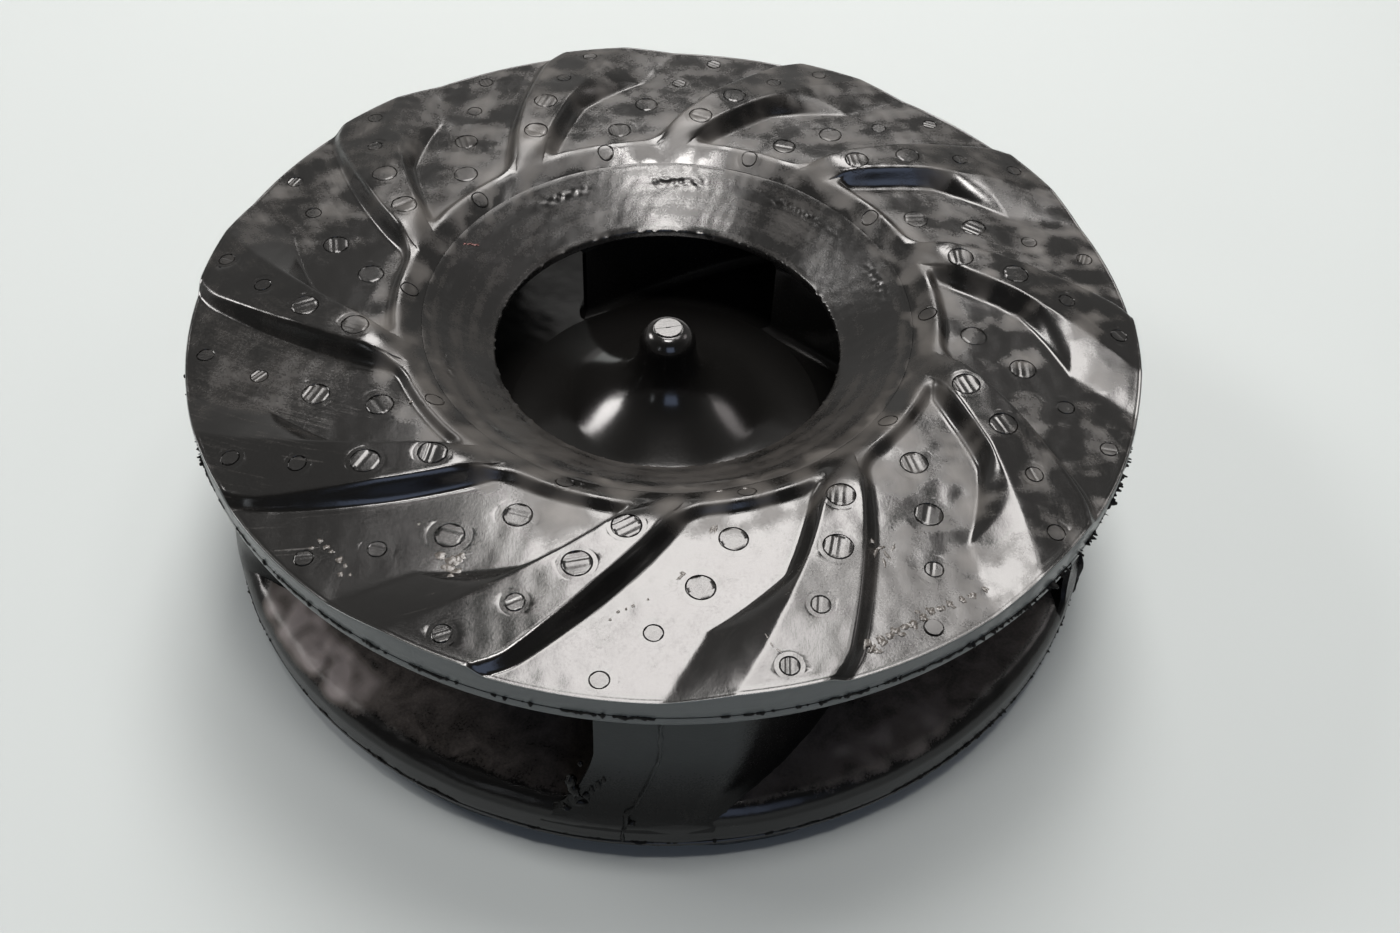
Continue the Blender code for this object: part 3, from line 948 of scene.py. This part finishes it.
def main_vane_rings(turned):
    """Outlines of a main vane from its foot on the back shroud to its root under the front shroud."""
    along = VANE_ALONG
    rings = []
    for level in VANE_LEVELS:
        flare = fillet(FOOT_ROUND, max(0.0, level) * MAIN_VANE_TALL)
        root = fillet(ROOT_ROUND, max(0.0, 1 - level) * MAIN_VANE_TALL)
        low = low_share(level)
        end = vane_end(low) + min(flare + root, 1 * MM)
        start = NOSE_RADIUS - flare + 0.35 * root
        radius = start + (end - start) * along
        middle = MAIN_OUTLET_ANGLE + MAIN_SWEEP * (1 - along**MAIN_BEND)
        middle = middle - 3.6 * low**1.5 * smooth_step(0.55, 1, along)
        rounding = np.minimum(1, along / 0.25)
        blunt = np.maximum(0.12, np.sqrt(1 - (1 - rounding) ** 2))
        half = (8.3 + 6.0 * (1 - along)) * blunt
        half = half + np.degrees((flare + root) * 1.25 / radius)
        half = half - 0.9 * smooth_step(0.975, 1, along)
        left = middle - half + turned
        right = middle + half + turned
        across = spread(left[-1], right[-1], 8)[1:-1]
        degrees = np.concatenate([right, across[::-1], left[::-1]])
        loop_radius = np.concatenate([radius, np.full(len(across), end), radius[::-1]])
        low_z = back_surface(loop_radius) - 1.2 * MM * max(0.0, 1 - 20 * max(0.0, level))
        high_z = underside(loop_radius)
        rings.append(points_at(*polar(loop_radius, degrees), low_z + (high_z - low_z) * level))
    return rings


# Cross section of a moulding seam: sideways as shares of its half width, outwards of its height
SEAM_SECTION = ((-1.6, -1.0), (-1.0, 0.08), (-0.3, 1.0), (0.35, 0.85), (1.0, 0.08), (1.6, -1.0))


def seam_rings(turned):
    """Cross sections of the moulding seam down a main vane's end and over the back shroud's rim."""
    path = []
    for level in spread(0.985, 0.1, 26):
        low = low_share(level)
        radius = vane_end(low)
        z = back_surface(radius) + (underside(radius) - back_surface(radius)) * level
        path.append((radius, z, -89.6 - 3.4 * low**1.3, 1.0))
    path += [(222.9 * MM, 37 * MM, -93.0, 0.9), (223.4 * MM, 33 * MM, -93.0, 0.9)]
    path += [(radius, z, -93.3, 0.8) for radius, z in arc(BACK_RIM_CENTRE, BACK_ROUND, 8, 0, 2)]
    path += [(BACK_RADIUS, z * MM, -93.5, 0.8) for z in BACK_RIM_LEVELS]
    draw = np.random.default_rng(5 + int(turned))
    rings = []
    for radius, z, degrees, wide in path:
        degrees = degrees + turned + draw.normal(0, 0.05)
        half = math.degrees(0.95 * MM / radius) * wide * draw.uniform(0.7, 1.3)
        crest = 1.3 * MM * draw.uniform(0.6, 1.1)
        ring = []
        for side, out in SEAM_SECTION:
            x, y = polar(radius + (out * crest if out > 0 else out * MM), degrees + side * half)
            ring.append((x, y, z))
        rings.append(ring)
    return rings[::-1]


# Torn lumps on the first main vane's end: angle in degrees, height and size in millimetres
VANE_LUMPS = (
    (-99.3, 52, (1.6, 1.6, 3.6)), (-99.0, 47, (1.8, 1.5, 3.0)), (-98.9, 42, (2.4, 1.4, 2.2)),
    (-98.4, 39.5, (2.6, 1.2, 1.6)), (-97.6, 44, (1.1, 0.9, 2.2)), (-97.0, 48, (1.0, 0.8, 2.6)),
    (-96.3, 52, (0.9, 0.8, 2.6)), (-95.7, 56, (0.8, 0.7, 2.2)),
    (-98.2, 66, (0.7, 0.7, 1.2)), (-92.5, 30.5, (1.2, 0.8, 1.0)), (-99.9, 35.5, (1.6, 1.0, 1.0)),
)


def build_main_vanes(material):
    """The thick vanes between the shrouds, with filleted feet, flaring ends and their moulding seams."""
    seams = Parts()
    lumps = Parts()
    for i in range(MAIN_VANES):
        turned = 360 / MAIN_VANES * i
        parts = Parts()
        parts.bar(main_vane_rings(turned))
        seams.bar(seam_rings(turned))
        add_piece(f"main_vane_{i + 1}_skin", parts, material, [f"main_vane_{i + 1}"], 50, VANE_LAYERS)
    for i, (degrees, z, size) in enumerate(VANE_LUMPS):
        x, y = polar(vane_end(max(0.0, 1 - (z - 33) / 40)), degrees)
        add_blob(lumps, (x, y, z * MM), np.array(size) * 1.4 * MM, math.radians(degrees + 90), 200 + i)
    add_piece("mould_seams", seams, material, sharp=60, layers=VANE_LAYERS)
    add_piece("vane_lumps", lumps, material, sharp=60)


# Slope of the hub's cone in degrees at each radius in millimetres
HUB_SLOPES = (
    (14.3, 81), (16, 72), (18, 60), (22, 49), (26, 40), (30, 35), (36, 32.5), (42, 31), (47, 28.5),
    (50.5, 21), (56, 14), (66, 9), (80.3, 4),
)


def build_hub(material):
    """The hub's flared cone with its domed tip and the disc on it, which a fine slot parts in two."""
    radii = spread(14.3, 80.15, 90) * MM
    slopes = np.tan(np.radians(np.interp(radii / MM, *zip(*HUB_SLOPES))))
    drops = np.concatenate([[0], np.cumsum((slopes[1:] + slopes[:-1]) / 2 * np.diff(radii))])
    flare = list(zip(radii, HUB_TOP - drops))[::-1]
    dome = []
    for angle in spread(0, 78, 14)[1:]:
        turn = math.radians(angle)
        dome.append((5.9 * MM + 8.4 * MM * math.cos(turn), 101.0 * MM + 11.2 * MM * math.sin(turn)))
    dome += in_metres(TIP_GROOVE)
    foot = in_metres(HUB_FOOT)
    rim = [(HUB_RADIUS, 30 * MM), (HUB_RADIUS, flare[0][1] - 0.4 * MM)]
    profile = [(AXIS_RADIUS, foot[0][1])] + foot + rim + flare + dome + [(AXIS_RADIUS, TIP_TOP)]
    parts = Parts()
    parts.ring(turned_rows(profile, 180))
    for low, high in ((-6.4, -0.45), (0.15, 6.4)):
        _, x, y = disc_grid(spread(low, high, 8) * MM, spread(-1, 1, 8), TIP_DISC, TIP_SLOT_ANGLE)
        parts.slab(points_at(x, y, 112.53 * MM), points_at(x, y, 112.1 * MM))
    add_piece("hub_nose_skin", parts, material, ["hub_nose"], 30)


def build_insert(material):
    """The steel insert with its threaded blind bore."""
    columns = 120
    angles = all_round(columns)
    rows = turned_rows(in_metres(BORE_END), columns)
    for z in spread(43.5, 3.0, 108) * MM:
        turn = np.mod(z / THREAD_PITCH + angles / 360, 1)
        depth = np.abs(turn - 0.5) * 2
        radius = THREAD_RADIUS + THREAD_DEPTH * smooth_step(0.15, 0.85, depth)
        rows.append(points_at(*polar(radius, angles), z))
    rows += turned_rows(in_metres(INSERT_OUTSIDE), columns)
    add_ring("shaft_insert_skin", rows, material, ["shaft_insert"], sharp=30, slot=STEEL_SLOT)


# Finishes


class Value:
    """A shader socket that adds Math nodes when it is used in an expression."""

    def __init__(self, finish, socket):
        self.finish = finish
        self.socket = socket

    def math(self, operation, *values):
        return self.finish.add("ShaderNodeMath", {"operation": operation}, dict(enumerate(values)))

    def __add__(self, other):
        return self.math("ADD", self, other)

    __radd__ = __add__

    def __sub__(self, other):
        return self.math("SUBTRACT", self, other)

    def __rsub__(self, other):
        return self.math("SUBTRACT", other, self)

    def __mul__(self, other):
        return self.math("MULTIPLY", self, other)

    __rmul__ = __mul__

    def limit(self):
        """The value held between 0 and 1."""
        return self.finish.add("ShaderNodeMath", {"operation": "ADD", "use_clamp": True}, {0: self, 1: 0.0})


class Finish:
    """A node tree of one material or of the world."""

    def __init__(self, name, owner=None):
        self.owner = owner or bpy.data.materials.new(name)
        self.owner.use_nodes = True
        self.tree = self.owner.node_tree

    def add(self, kind, settings=None, values=None, out=0):
        """Adds a node, sets it, then gives its sockets their values or links, and returns one of its outputs."""
        node = self.tree.nodes.new(kind)
        for name, setting in (settings or {}).items():
            if name == "stops":
                ramp = node.color_ramp
                while len(ramp.elements) < len(setting):
                    ramp.elements.new(1)
                for element, (place, shade) in zip(ramp.elements, setting):
                    element.position = place
                    element.color = (shade, shade, shade, 1)
            else:
                setattr(node, name, setting)
        self.fill(node, values or {})
        return Value(self, node.outputs[out])

    def fill(self, node, values):
        for name, value in values.items():
            if isinstance(value, Value):
                self.tree.links.new(value.socket, node.inputs[name])
            else:
                node.inputs[name].default_value = value

    def shader(self, **values):
        self.fill(self.tree.nodes["Principled BSDF"], {name.replace("_", " "): value for name, value in values.items()})
        return self.owner

    def place(self):
        """The point on the object, in metres."""
        return self.add("ShaderNodeTexCoord", out=3)

    def layer(self, name, out=2):
        """A value or vector stored on the mesh's points."""
        return self.add("ShaderNodeAttribute", {"attribute_name": name}, out=out)

    def noise(self, scale, detail=2.0, roughness=0.5, distortion=0.0, place=None):
        values = {"Vector": place or self.place(), "Scale": scale, "Detail": detail}
        values |= {"Roughness": roughness, "Distortion": distortion}
        return self.add("ShaderNodeTexNoise", None, values)

    def ramp(self, value, *stops):
        return self.add("ShaderNodeValToRGB", {"stops": stops}, {"Fac": value})

    def mix(self, factor, a, b):
        """A colour between a and b."""
        return self.add("ShaderNodeMix", {"data_type": "RGBA"}, {0: factor, 6: a, 7: b}, out=2)

    def bump(self, height, strength, distance):
        return self.add("ShaderNodeBump", None, {"Height": height, "Strength": strength, "Distance": distance})


def rgba(colour):
    return (*colour, 1.0)


def rubber_finish(name, gloss, dull, smudging, grain, layers=(), clear=3.5, brown=False, shine=1.55):
    """Moulded black rubber: glossy where it was wiped, duller and a little paler under a film, with a fine grain; on
    the back shroud the film and dust also paint fill light and a highlight, and the bloom paints a reflection on the
    rim's band.
    """
    finish = Finish(name)
    c = colours()
    broad = finish.noise(17, 3, 0.55, 0.6)
    patches = finish.noise(70, 6, 0.62, 1.0)
    specks = finish.noise(900, 3, 0.65)
    film = broad * 0.9 + patches * 0.75 - (1.28 - smudging * 0.5)
    if "film" in layers:
        film = film + finish.layer("film")
    if "flow" in layers:
        stretched = {0: finish.layer("flow", 1), 1: (18, 420, 1)}
        run = finish.add("ShaderNodeVectorMath", {"operation": "MULTIPLY"}, stretched)
        film = film + (finish.noise(1, 4, 0.6, 0.3, run) - 0.5) * 1.6 * finish.layer("streak")
    smudge = (film * clear + (specks - 0.5) * 0.9).limit()
    rough = smudge * (dull - gloss) + gloss + (specks - 0.5) * 0.1
    # On the back shroud the brown film also paints fill light in the shaded gap, and the dust paints the highlight on
    # the rim's left edge.
    thin, thick = (c.brown_film_and_fill, c.dust_and_sheen) if brown else (c.rubber_smudge, c.rubber_pale)
    colour = finish.mix(smudge, rgba(c.rubber), rgba(thin))
    colour = finish.mix((film * 0.9 - 0.5).limit(), colour, rgba(thick))
    # The bloom colour is partly a real bluish bloom and partly a painted reflection of the pale floor on the rim's
    # band.
    if "chalk" in layers:
        chalk = finish.layer("chalk")
        bloom_and_reflection = (chalk * (0.75 + patches * 0.5)).limit()
        colour = finish.mix(bloom_and_reflection, colour, rgba(c.bloom_and_reflection))
        rough = rough + chalk * 0.12
    height = specks * 0.3 + patches * 0.35 + finish.noise(240, 3, 0.6) * 0.3
    normal = finish.bump(height, grain, 0.0005)
    return finish.shader(Base_Color=colour, Roughness=rough, Normal=normal, Metallic=0.0, IOR=shine)


def worn_finish(name, colour, noise, rough, worn=None, paler=1, bump=None, lines=None, **more):
    """A finish whose colour and roughness vary with one soft noise, between two of the sidebar's colours."""
    finish = Finish(name)
    wear = finish.noise(*noise)
    relief = finish.noise(*lines) if lines else wear
    shade = rgba(getattr(colours(), colour))
    if worn:
        shade = finish.mix(wear, shade, rgba([value * paler for value in getattr(colours(), worn)]))
    more |= {"Base_Color": shade, "Roughness": rough[0] + wear * rough[1]}
    if bump:
        more["Normal"] = finish.bump(relief, *bump)
    return finish.shader(**more)


# How the rubber finishes differ
RUBBERS = {
    "front_rubber": dict(gloss=0.18, dull=0.42, smudging=0.45, grain=0.2, layers=FRONT_LAYERS, clear=1.35),
    "pin_rubber": dict(gloss=0.24, dull=0.4, smudging=0.55, grain=0.2, layers=FRONT_LAYERS, clear=1.35),
    "funnel_rubber": dict(gloss=0.24, dull=0.4, smudging=0.62, grain=0.3, layers=FUNNEL_LAYERS, clear=2.2),
    # Its brown film and dust also paint fill light in the gap and a highlight on the rim's left edge.
    "back_rubber": dict(
        gloss=0.24, dull=0.42, smudging=0.7, grain=0.35, layers=BACK_LAYERS, clear=2.2, brown=True, shine=1.4
    ),
    "vane_rubber": dict(gloss=0.26, dull=0.45, smudging=0.5, grain=0.35, layers=VANE_LAYERS, shine=1.25),
    "hub_rubber": dict(gloss=0.17, dull=0.26, smudging=0.15, grain=0.08),
}

# How the other finishes differ: noises as scale, detail and roughness, rough as least and reach
WORN = {
    "torn_flash": dict(colour="rubber", noise=(700, 3, 0.6), rough=(0.35, 0.25), bump=(0.4, 0.0004), IOR=1.2),
    # The torn lumps are paler than the rubber, partly as painted sheen.
    "scuffed_rubber": dict(
        colour="rubber_smudge", worn="rubber_smudge", paler=5,
        noise=(800, 4, 0.6), rough=(0.16, 0.2), bump=(0.4, 0.0004), IOR=1.55,
    ),
    "red_paint": dict(
        colour="fleck", worn="rubber_smudge", noise=(1400, 3, 0.6), rough=(0.4, 0.2), bump=(0.3, 0.0002)
    ),
    "machined_steel": dict(
        colour="steel", worn="steel_stain", noise=(30, 4, 0.6), lines=(600, 2, 0.5),
        rough=(0.28, 0.2), bump=(0.15, 0.0003), Metallic=1.0,
    ),
    "pale_floor": dict(colour="floor", worn="floor", paler=0.97, noise=(3, 2, 0.5), rough=(0.75, 0.05)),
}


def finish_named(name):
    """A finish by its name, made when it is first asked for."""
    if name in bpy.data.materials:
        return bpy.data.materials[name]
    return rubber_finish(name, **RUBBERS[name]) if name in RUBBERS else worn_finish(name, **WORN[name])


# The stage

FLOOR_REACH = 9.0
FLOOR_DROP = 0.0005
SENSOR_WIDTH = 36
WINDOW_TINT = (1.0, 0.965, 0.94)

# Lights: place, target, width and height in metres, share of the window's power and colour
LIGHTS = {
    "far_window": ((0.08, 1.65, 2.6), (0.08, 1.65, 0), (1.0, 2.4), 1.2, WINDOW_TINT),
    "ceiling_panel": ((0.04, -0.25, 2.6), (0.04, -0.25, 0), (0.8, 0.38), 0.36, WINDOW_TINT),
    "side_panel": ((1.0, 0.75, 2.6), (1.0, 0.75, 0), (0.5, 0.95), 0.1, WINDOW_TINT),
    "left_window": ((-3.28, 1.13, 2.6), (0, 0, 0.1), (1.3, 1.0), 0.8, (1.0, 0.97, 0.95)),
    "right_window": ((3.2, 1.3, 2.6), (0, 0, 0.1), (1.2, 1.0), 0.11, (1.0, 0.93, 0.92)),
    "sky_window": ((0.67, -3.13, 1.6), (0, 0, 0.1), (1.7, 1.6), 0.15, (0.55, 0.68, 1.0)),
    "door_window": ((-1.84, -2.62, 1.5), (0, 0, 0.1), (0.3, 1.0), 0.02, (0.9, 0.95, 1.0)),
}


def add_light(name, location, target, size, power, colour):
    """A soft rectangular light that points at a target."""
    light = bpy.data.lights.new(name, "AREA")
    light.shape = "RECTANGLE"
    light.size, light.size_y = size
    light.energy = power
    light.color = colour
    lamp = add_object(name, light)
    away = Matrix.Translation(location).translation - Matrix.Translation(target).translation
    lamp.matrix_world = Matrix.Translation(location) @ away.to_track_quat("Z", "Y").to_matrix().to_4x4()


def add_floor():
    """A level floor just under the part."""
    mesh = bpy.data.meshes.new("floor")
    corners = [(x * FLOOR_REACH, y * FLOOR_REACH, 0) for x, y in ((-1, -1), (1, -1), (1, 1), (-1, 1))]
    mesh.from_pydata(corners, [], [(0, 1, 2, 3)])
    mesh.materials.append(finish_named("pale_floor"))
    floor = add_object("floor", mesh)
    floor.location.z = -FLOOR_DROP


def light_room():
    """The room's soft light, brighter from the far side than from the near one."""
    world = bpy.data.worlds.new("soft_room")
    bpy.context.scene.world = world
    room = Finish("soft_room", world)
    direction = room.add("ShaderNodeTexCoord", out=0)
    height = room.add("ShaderNodeSeparateXYZ", None, {0: direction}, out=2)
    ahead = room.add("ShaderNodeSeparateXYZ", None, {0: direction}, out=1)
    up = room.ramp(height, (0.0, 0.55), (0.2, 0.6), (0.5, 0.4), (1.0, 0.3))
    facing = room.ramp(ahead * 0.5 + 0.5, (0.0, 0.18), (0.4, 0.3), (0.6, 0.9), (1.0, 1.0))
    strength = up * facing * sizes().room_light
    room.fill(room.tree.nodes["Background"], {"Color": (0.96, 0.945, 0.92, 1), "Strength": strength})


def add_camera():
    """The camera where the photo was taken from."""
    s = sizes()
    camera = bpy.data.cameras.new("camera")
    camera.sensor_width = SENSOR_WIDTH
    camera.lens = s.lens
    camera.clip_start = 0.01
    camera.clip_end = 50
    holder = add_object("camera", camera)
    pitch, yaw, roll = s.camera_pitch, s.camera_yaw, s.camera_roll
    forward = np.array([math.sin(yaw) * math.cos(pitch), math.cos(yaw) * math.cos(pitch), -math.sin(pitch)])
    level = np.array([math.cos(yaw), -math.sin(yaw), 0])
    upward = np.cross(level, forward)
    right = math.cos(roll) * level + math.sin(roll) * upward
    over = -math.sin(roll) * level + math.cos(roll) * upward
    turn = np.eye(4)
    turn[:3] = np.stack([right, over, -forward, list(s.camera_place)], -1)
    holder.matrix_world = Matrix(turn.tolist())
    bpy.context.scene.camera = holder


def build_stage():
    """Pale floor, soft lights and the camera."""
    add_floor()
    light_room()
    for name, (place, target, size, share, colour) in LIGHTS.items():
        add_light(name, place, target, size, sizes().window_power * share, colour)
    add_camera()
    bpy.context.scene.view_settings.view_transform = "Standard"


# The add-on


def number(name, description, default, **more):
    return FloatProperty(name=name, description=description, default=default, **more)


def length(name, description, default):
    return number(name, description, default, unit="LENGTH", precision=5)


def angle(name, description, degrees):
    return number(name, description, math.radians(degrees), unit="ROTATION")


def triple(name, description, default, **more):
    return FloatVectorProperty(name=name, description=description, default=default, size=3, **more)


def tint(name, description, default):
    return triple(name, description, default, subtype="COLOR", min=0, max=1)


class ImpellerSizes(bpy.types.PropertyGroup):
    outer_radius: length("Outer radius", "Radius of the front shroud's rim", CAD_BOX[1][0])
    floor_height: length("Pocket floor", "Height of the pocket floor above the ground", 127 * MM)
    vane_height: length("Vane height", "Height of the front vanes above the pocket floor", 10.6 * MM)
    rim_low: length("Rim low edge", "Height of the rim band's lower edge", 111.7 * MM)
    unevenness: number("Unevenness", "Strength of the moulded skin's slight waves", 1.0, min=0, max=3)
    window_power: number("Window power", "Power of the window overhead", 92.0, unit="POWER")
    room_light: number("Room light", "Strength of the room's soft light", 0.8, min=0)
    lens: number("Lens", "Focal length in millimetres on a 36 mm sensor", 35.26)
    camera_place: triple(
        "Camera place", "Where the camera stands", (0.0, -0.5004, 0.5664), subtype="TRANSLATION", unit="LENGTH"
    )
    camera_pitch: angle("Camera pitch", "How far the camera looks down", 47.95)
    camera_yaw: angle("Camera yaw", "How far the camera looks to the right", 2.22)
    camera_roll: angle("Camera roll", "How far the camera leans", 3.23)


class ImpellerColours(bpy.types.PropertyGroup):
    rubber: tint("Rubber", "Black moulded rubber", (0.0052, 0.005, 0.0047))
    rubber_smudge: tint("Smudged rubber", "Rubber under a thin film of release agent", (0.0198, 0.0176, 0.0154))
    rubber_pale: tint("Pale rubber", "Rubber under a thick grey film", (0.064, 0.059, 0.0535))
    # Partly a real bluish bloom, partly the painted reflection of the pale floor on the rim's band.
    bloom_and_reflection: tint("Bloom", "Bluish bloom on the rim's band", (0.08, 0.088, 0.087))
    # Partly a real brownish film, partly painted fill light in the shaded gap.
    brown_film_and_fill: tint("Brown film", "Rubber under a thin brownish film", (0.1, 0.086, 0.077))
    # Partly real pinkish dust, partly the painted highlight along the back rim's left edge.
    dust_and_sheen: tint("Dust", "Rubber under pinkish dust", (0.3, 0.262, 0.25))
    fleck: tint("Red fleck", "Old red paint mark", (0.2, 0.03, 0.02))
    steel: tint("Steel", "Turned steel", (0.42, 0.41, 0.4))
    steel_stain: tint("Stained steel", "Oil-stained steel", (0.26, 0.24, 0.22))
    floor: tint("Floor", "Pale floor", (0.384, 0.411, 0.408))


class IMPELLER_OT_front_face(bpy.types.Operator):
    """Build the front face with its pockets, vanes and rim band"""

    bl_idname = "impeller.front_face"
    bl_label = "Front Face"

    def execute(self, context):
        build_front_face(finish_named("front_rubber"))
        return {"FINISHED"}


class IMPELLER_OT_funnel(bpy.types.Operator):
    """Build the eye's funnel and lip"""

    bl_idname = "impeller.funnel"
    bl_label = "Eye Funnel"

    def execute(self, context):
        build_funnel(finish_named("funnel_rubber"))
        return {"FINISHED"}


class IMPELLER_OT_pins(bpy.types.Operator):
    """Build the slotted marks of the mould's pins"""

    bl_idname = "impeller.pins"
    bl_label = "Pin Marks"

    def execute(self, context):
        build_pins(finish_named("pin_rubber"), finish_named("front_rubber"))
        return {"FINISHED"}


class IMPELLER_OT_scuffs(bpy.types.Operator):
    """Build the torn lumps and the flash on the rims"""

    bl_idname = "impeller.scuffs"
    bl_label = "Lumps and Flash"

    def execute(self, context):
        build_scuffs(finish_named("scuffed_rubber"))
        build_flash(finish_named("torn_flash"))
        build_fleck(finish_named("red_paint"))
        return {"FINISHED"}


class IMPELLER_OT_back(bpy.types.Operator):
    """Build the back shroud and the rear face"""

    bl_idname = "impeller.back"
    bl_label = "Back Shroud"

    def execute(self, context):
        build_back_shroud(finish_named("back_rubber"))
        build_rear_face(finish_named("back_rubber"))
        return {"FINISHED"}


class IMPELLER_OT_main_vanes(bpy.types.Operator):
    """Build the thick vanes between the shrouds"""

    bl_idname = "impeller.main_vanes"
    bl_label = "Main Vanes"

    def execute(self, context):
        build_main_vanes(finish_named("vane_rubber"))
        return {"FINISHED"}


class IMPELLER_OT_hub(bpy.types.Operator):
    """Build the hub's nose cone and the steel insert"""

    bl_idname = "impeller.hub"
    bl_label = "Hub and Insert"

    def execute(self, context):
        build_hub(finish_named("hub_rubber"))
        build_insert(finish_named("machined_steel"))
        return {"FINISHED"}


class IMPELLER_OT_stage(bpy.types.Operator):
    """Set up the floor, the lights and the camera"""

    bl_idname = "impeller.stage"
    bl_label = "Stage"

    def execute(self, context):
        build_stage()
        return {"FINISHED"}


OPERATORS = (
    IMPELLER_OT_stage,
    IMPELLER_OT_front_face,
    IMPELLER_OT_funnel,
    IMPELLER_OT_pins,
    IMPELLER_OT_scuffs,
    IMPELLER_OT_back,
    IMPELLER_OT_main_vanes,
    IMPELLER_OT_hub,
)


class IMPELLER_PT_sidebar(bpy.types.Panel):
    """The impeller's pieces, sizes and colours"""

    bl_idname = "IMPELLER_PT_sidebar"
    bl_label = "Impeller"
    bl_space_type = "VIEW_3D"
    bl_region_type = "UI"
    bl_category = "Impeller"

    def draw(self, context):
        for kind in OPERATORS:
            self.layout.operator(kind.bl_idname)
        for group in (context.scene.impeller_sizes, context.scene.impeller_colours):
            for name in group.__annotations__:
                self.layout.prop(group, name)


CLASSES = (ImpellerSizes, ImpellerColours, *OPERATORS, IMPELLER_PT_sidebar)


def register():
    for kind in CLASSES:
        bpy.utils.register_class(kind)
    bpy.types.Scene.impeller_sizes = PointerProperty(type=ImpellerSizes)
    bpy.types.Scene.impeller_colours = PointerProperty(type=ImpellerColours)


def unregister():
    del bpy.types.Scene.impeller_sizes
    del bpy.types.Scene.impeller_colours
    for kind in reversed(CLASSES):
        bpy.utils.unregister_class(kind)


def main():
    register()
    bpy.ops.impeller.stage()
    bpy.ops.impeller.front_face()
    bpy.ops.impeller.funnel()
    bpy.ops.impeller.pins()
    bpy.ops.impeller.scuffs()
    bpy.ops.impeller.back()
    bpy.ops.impeller.main_vanes()
    bpy.ops.impeller.hub()


if __name__ == "__main__":
    main()
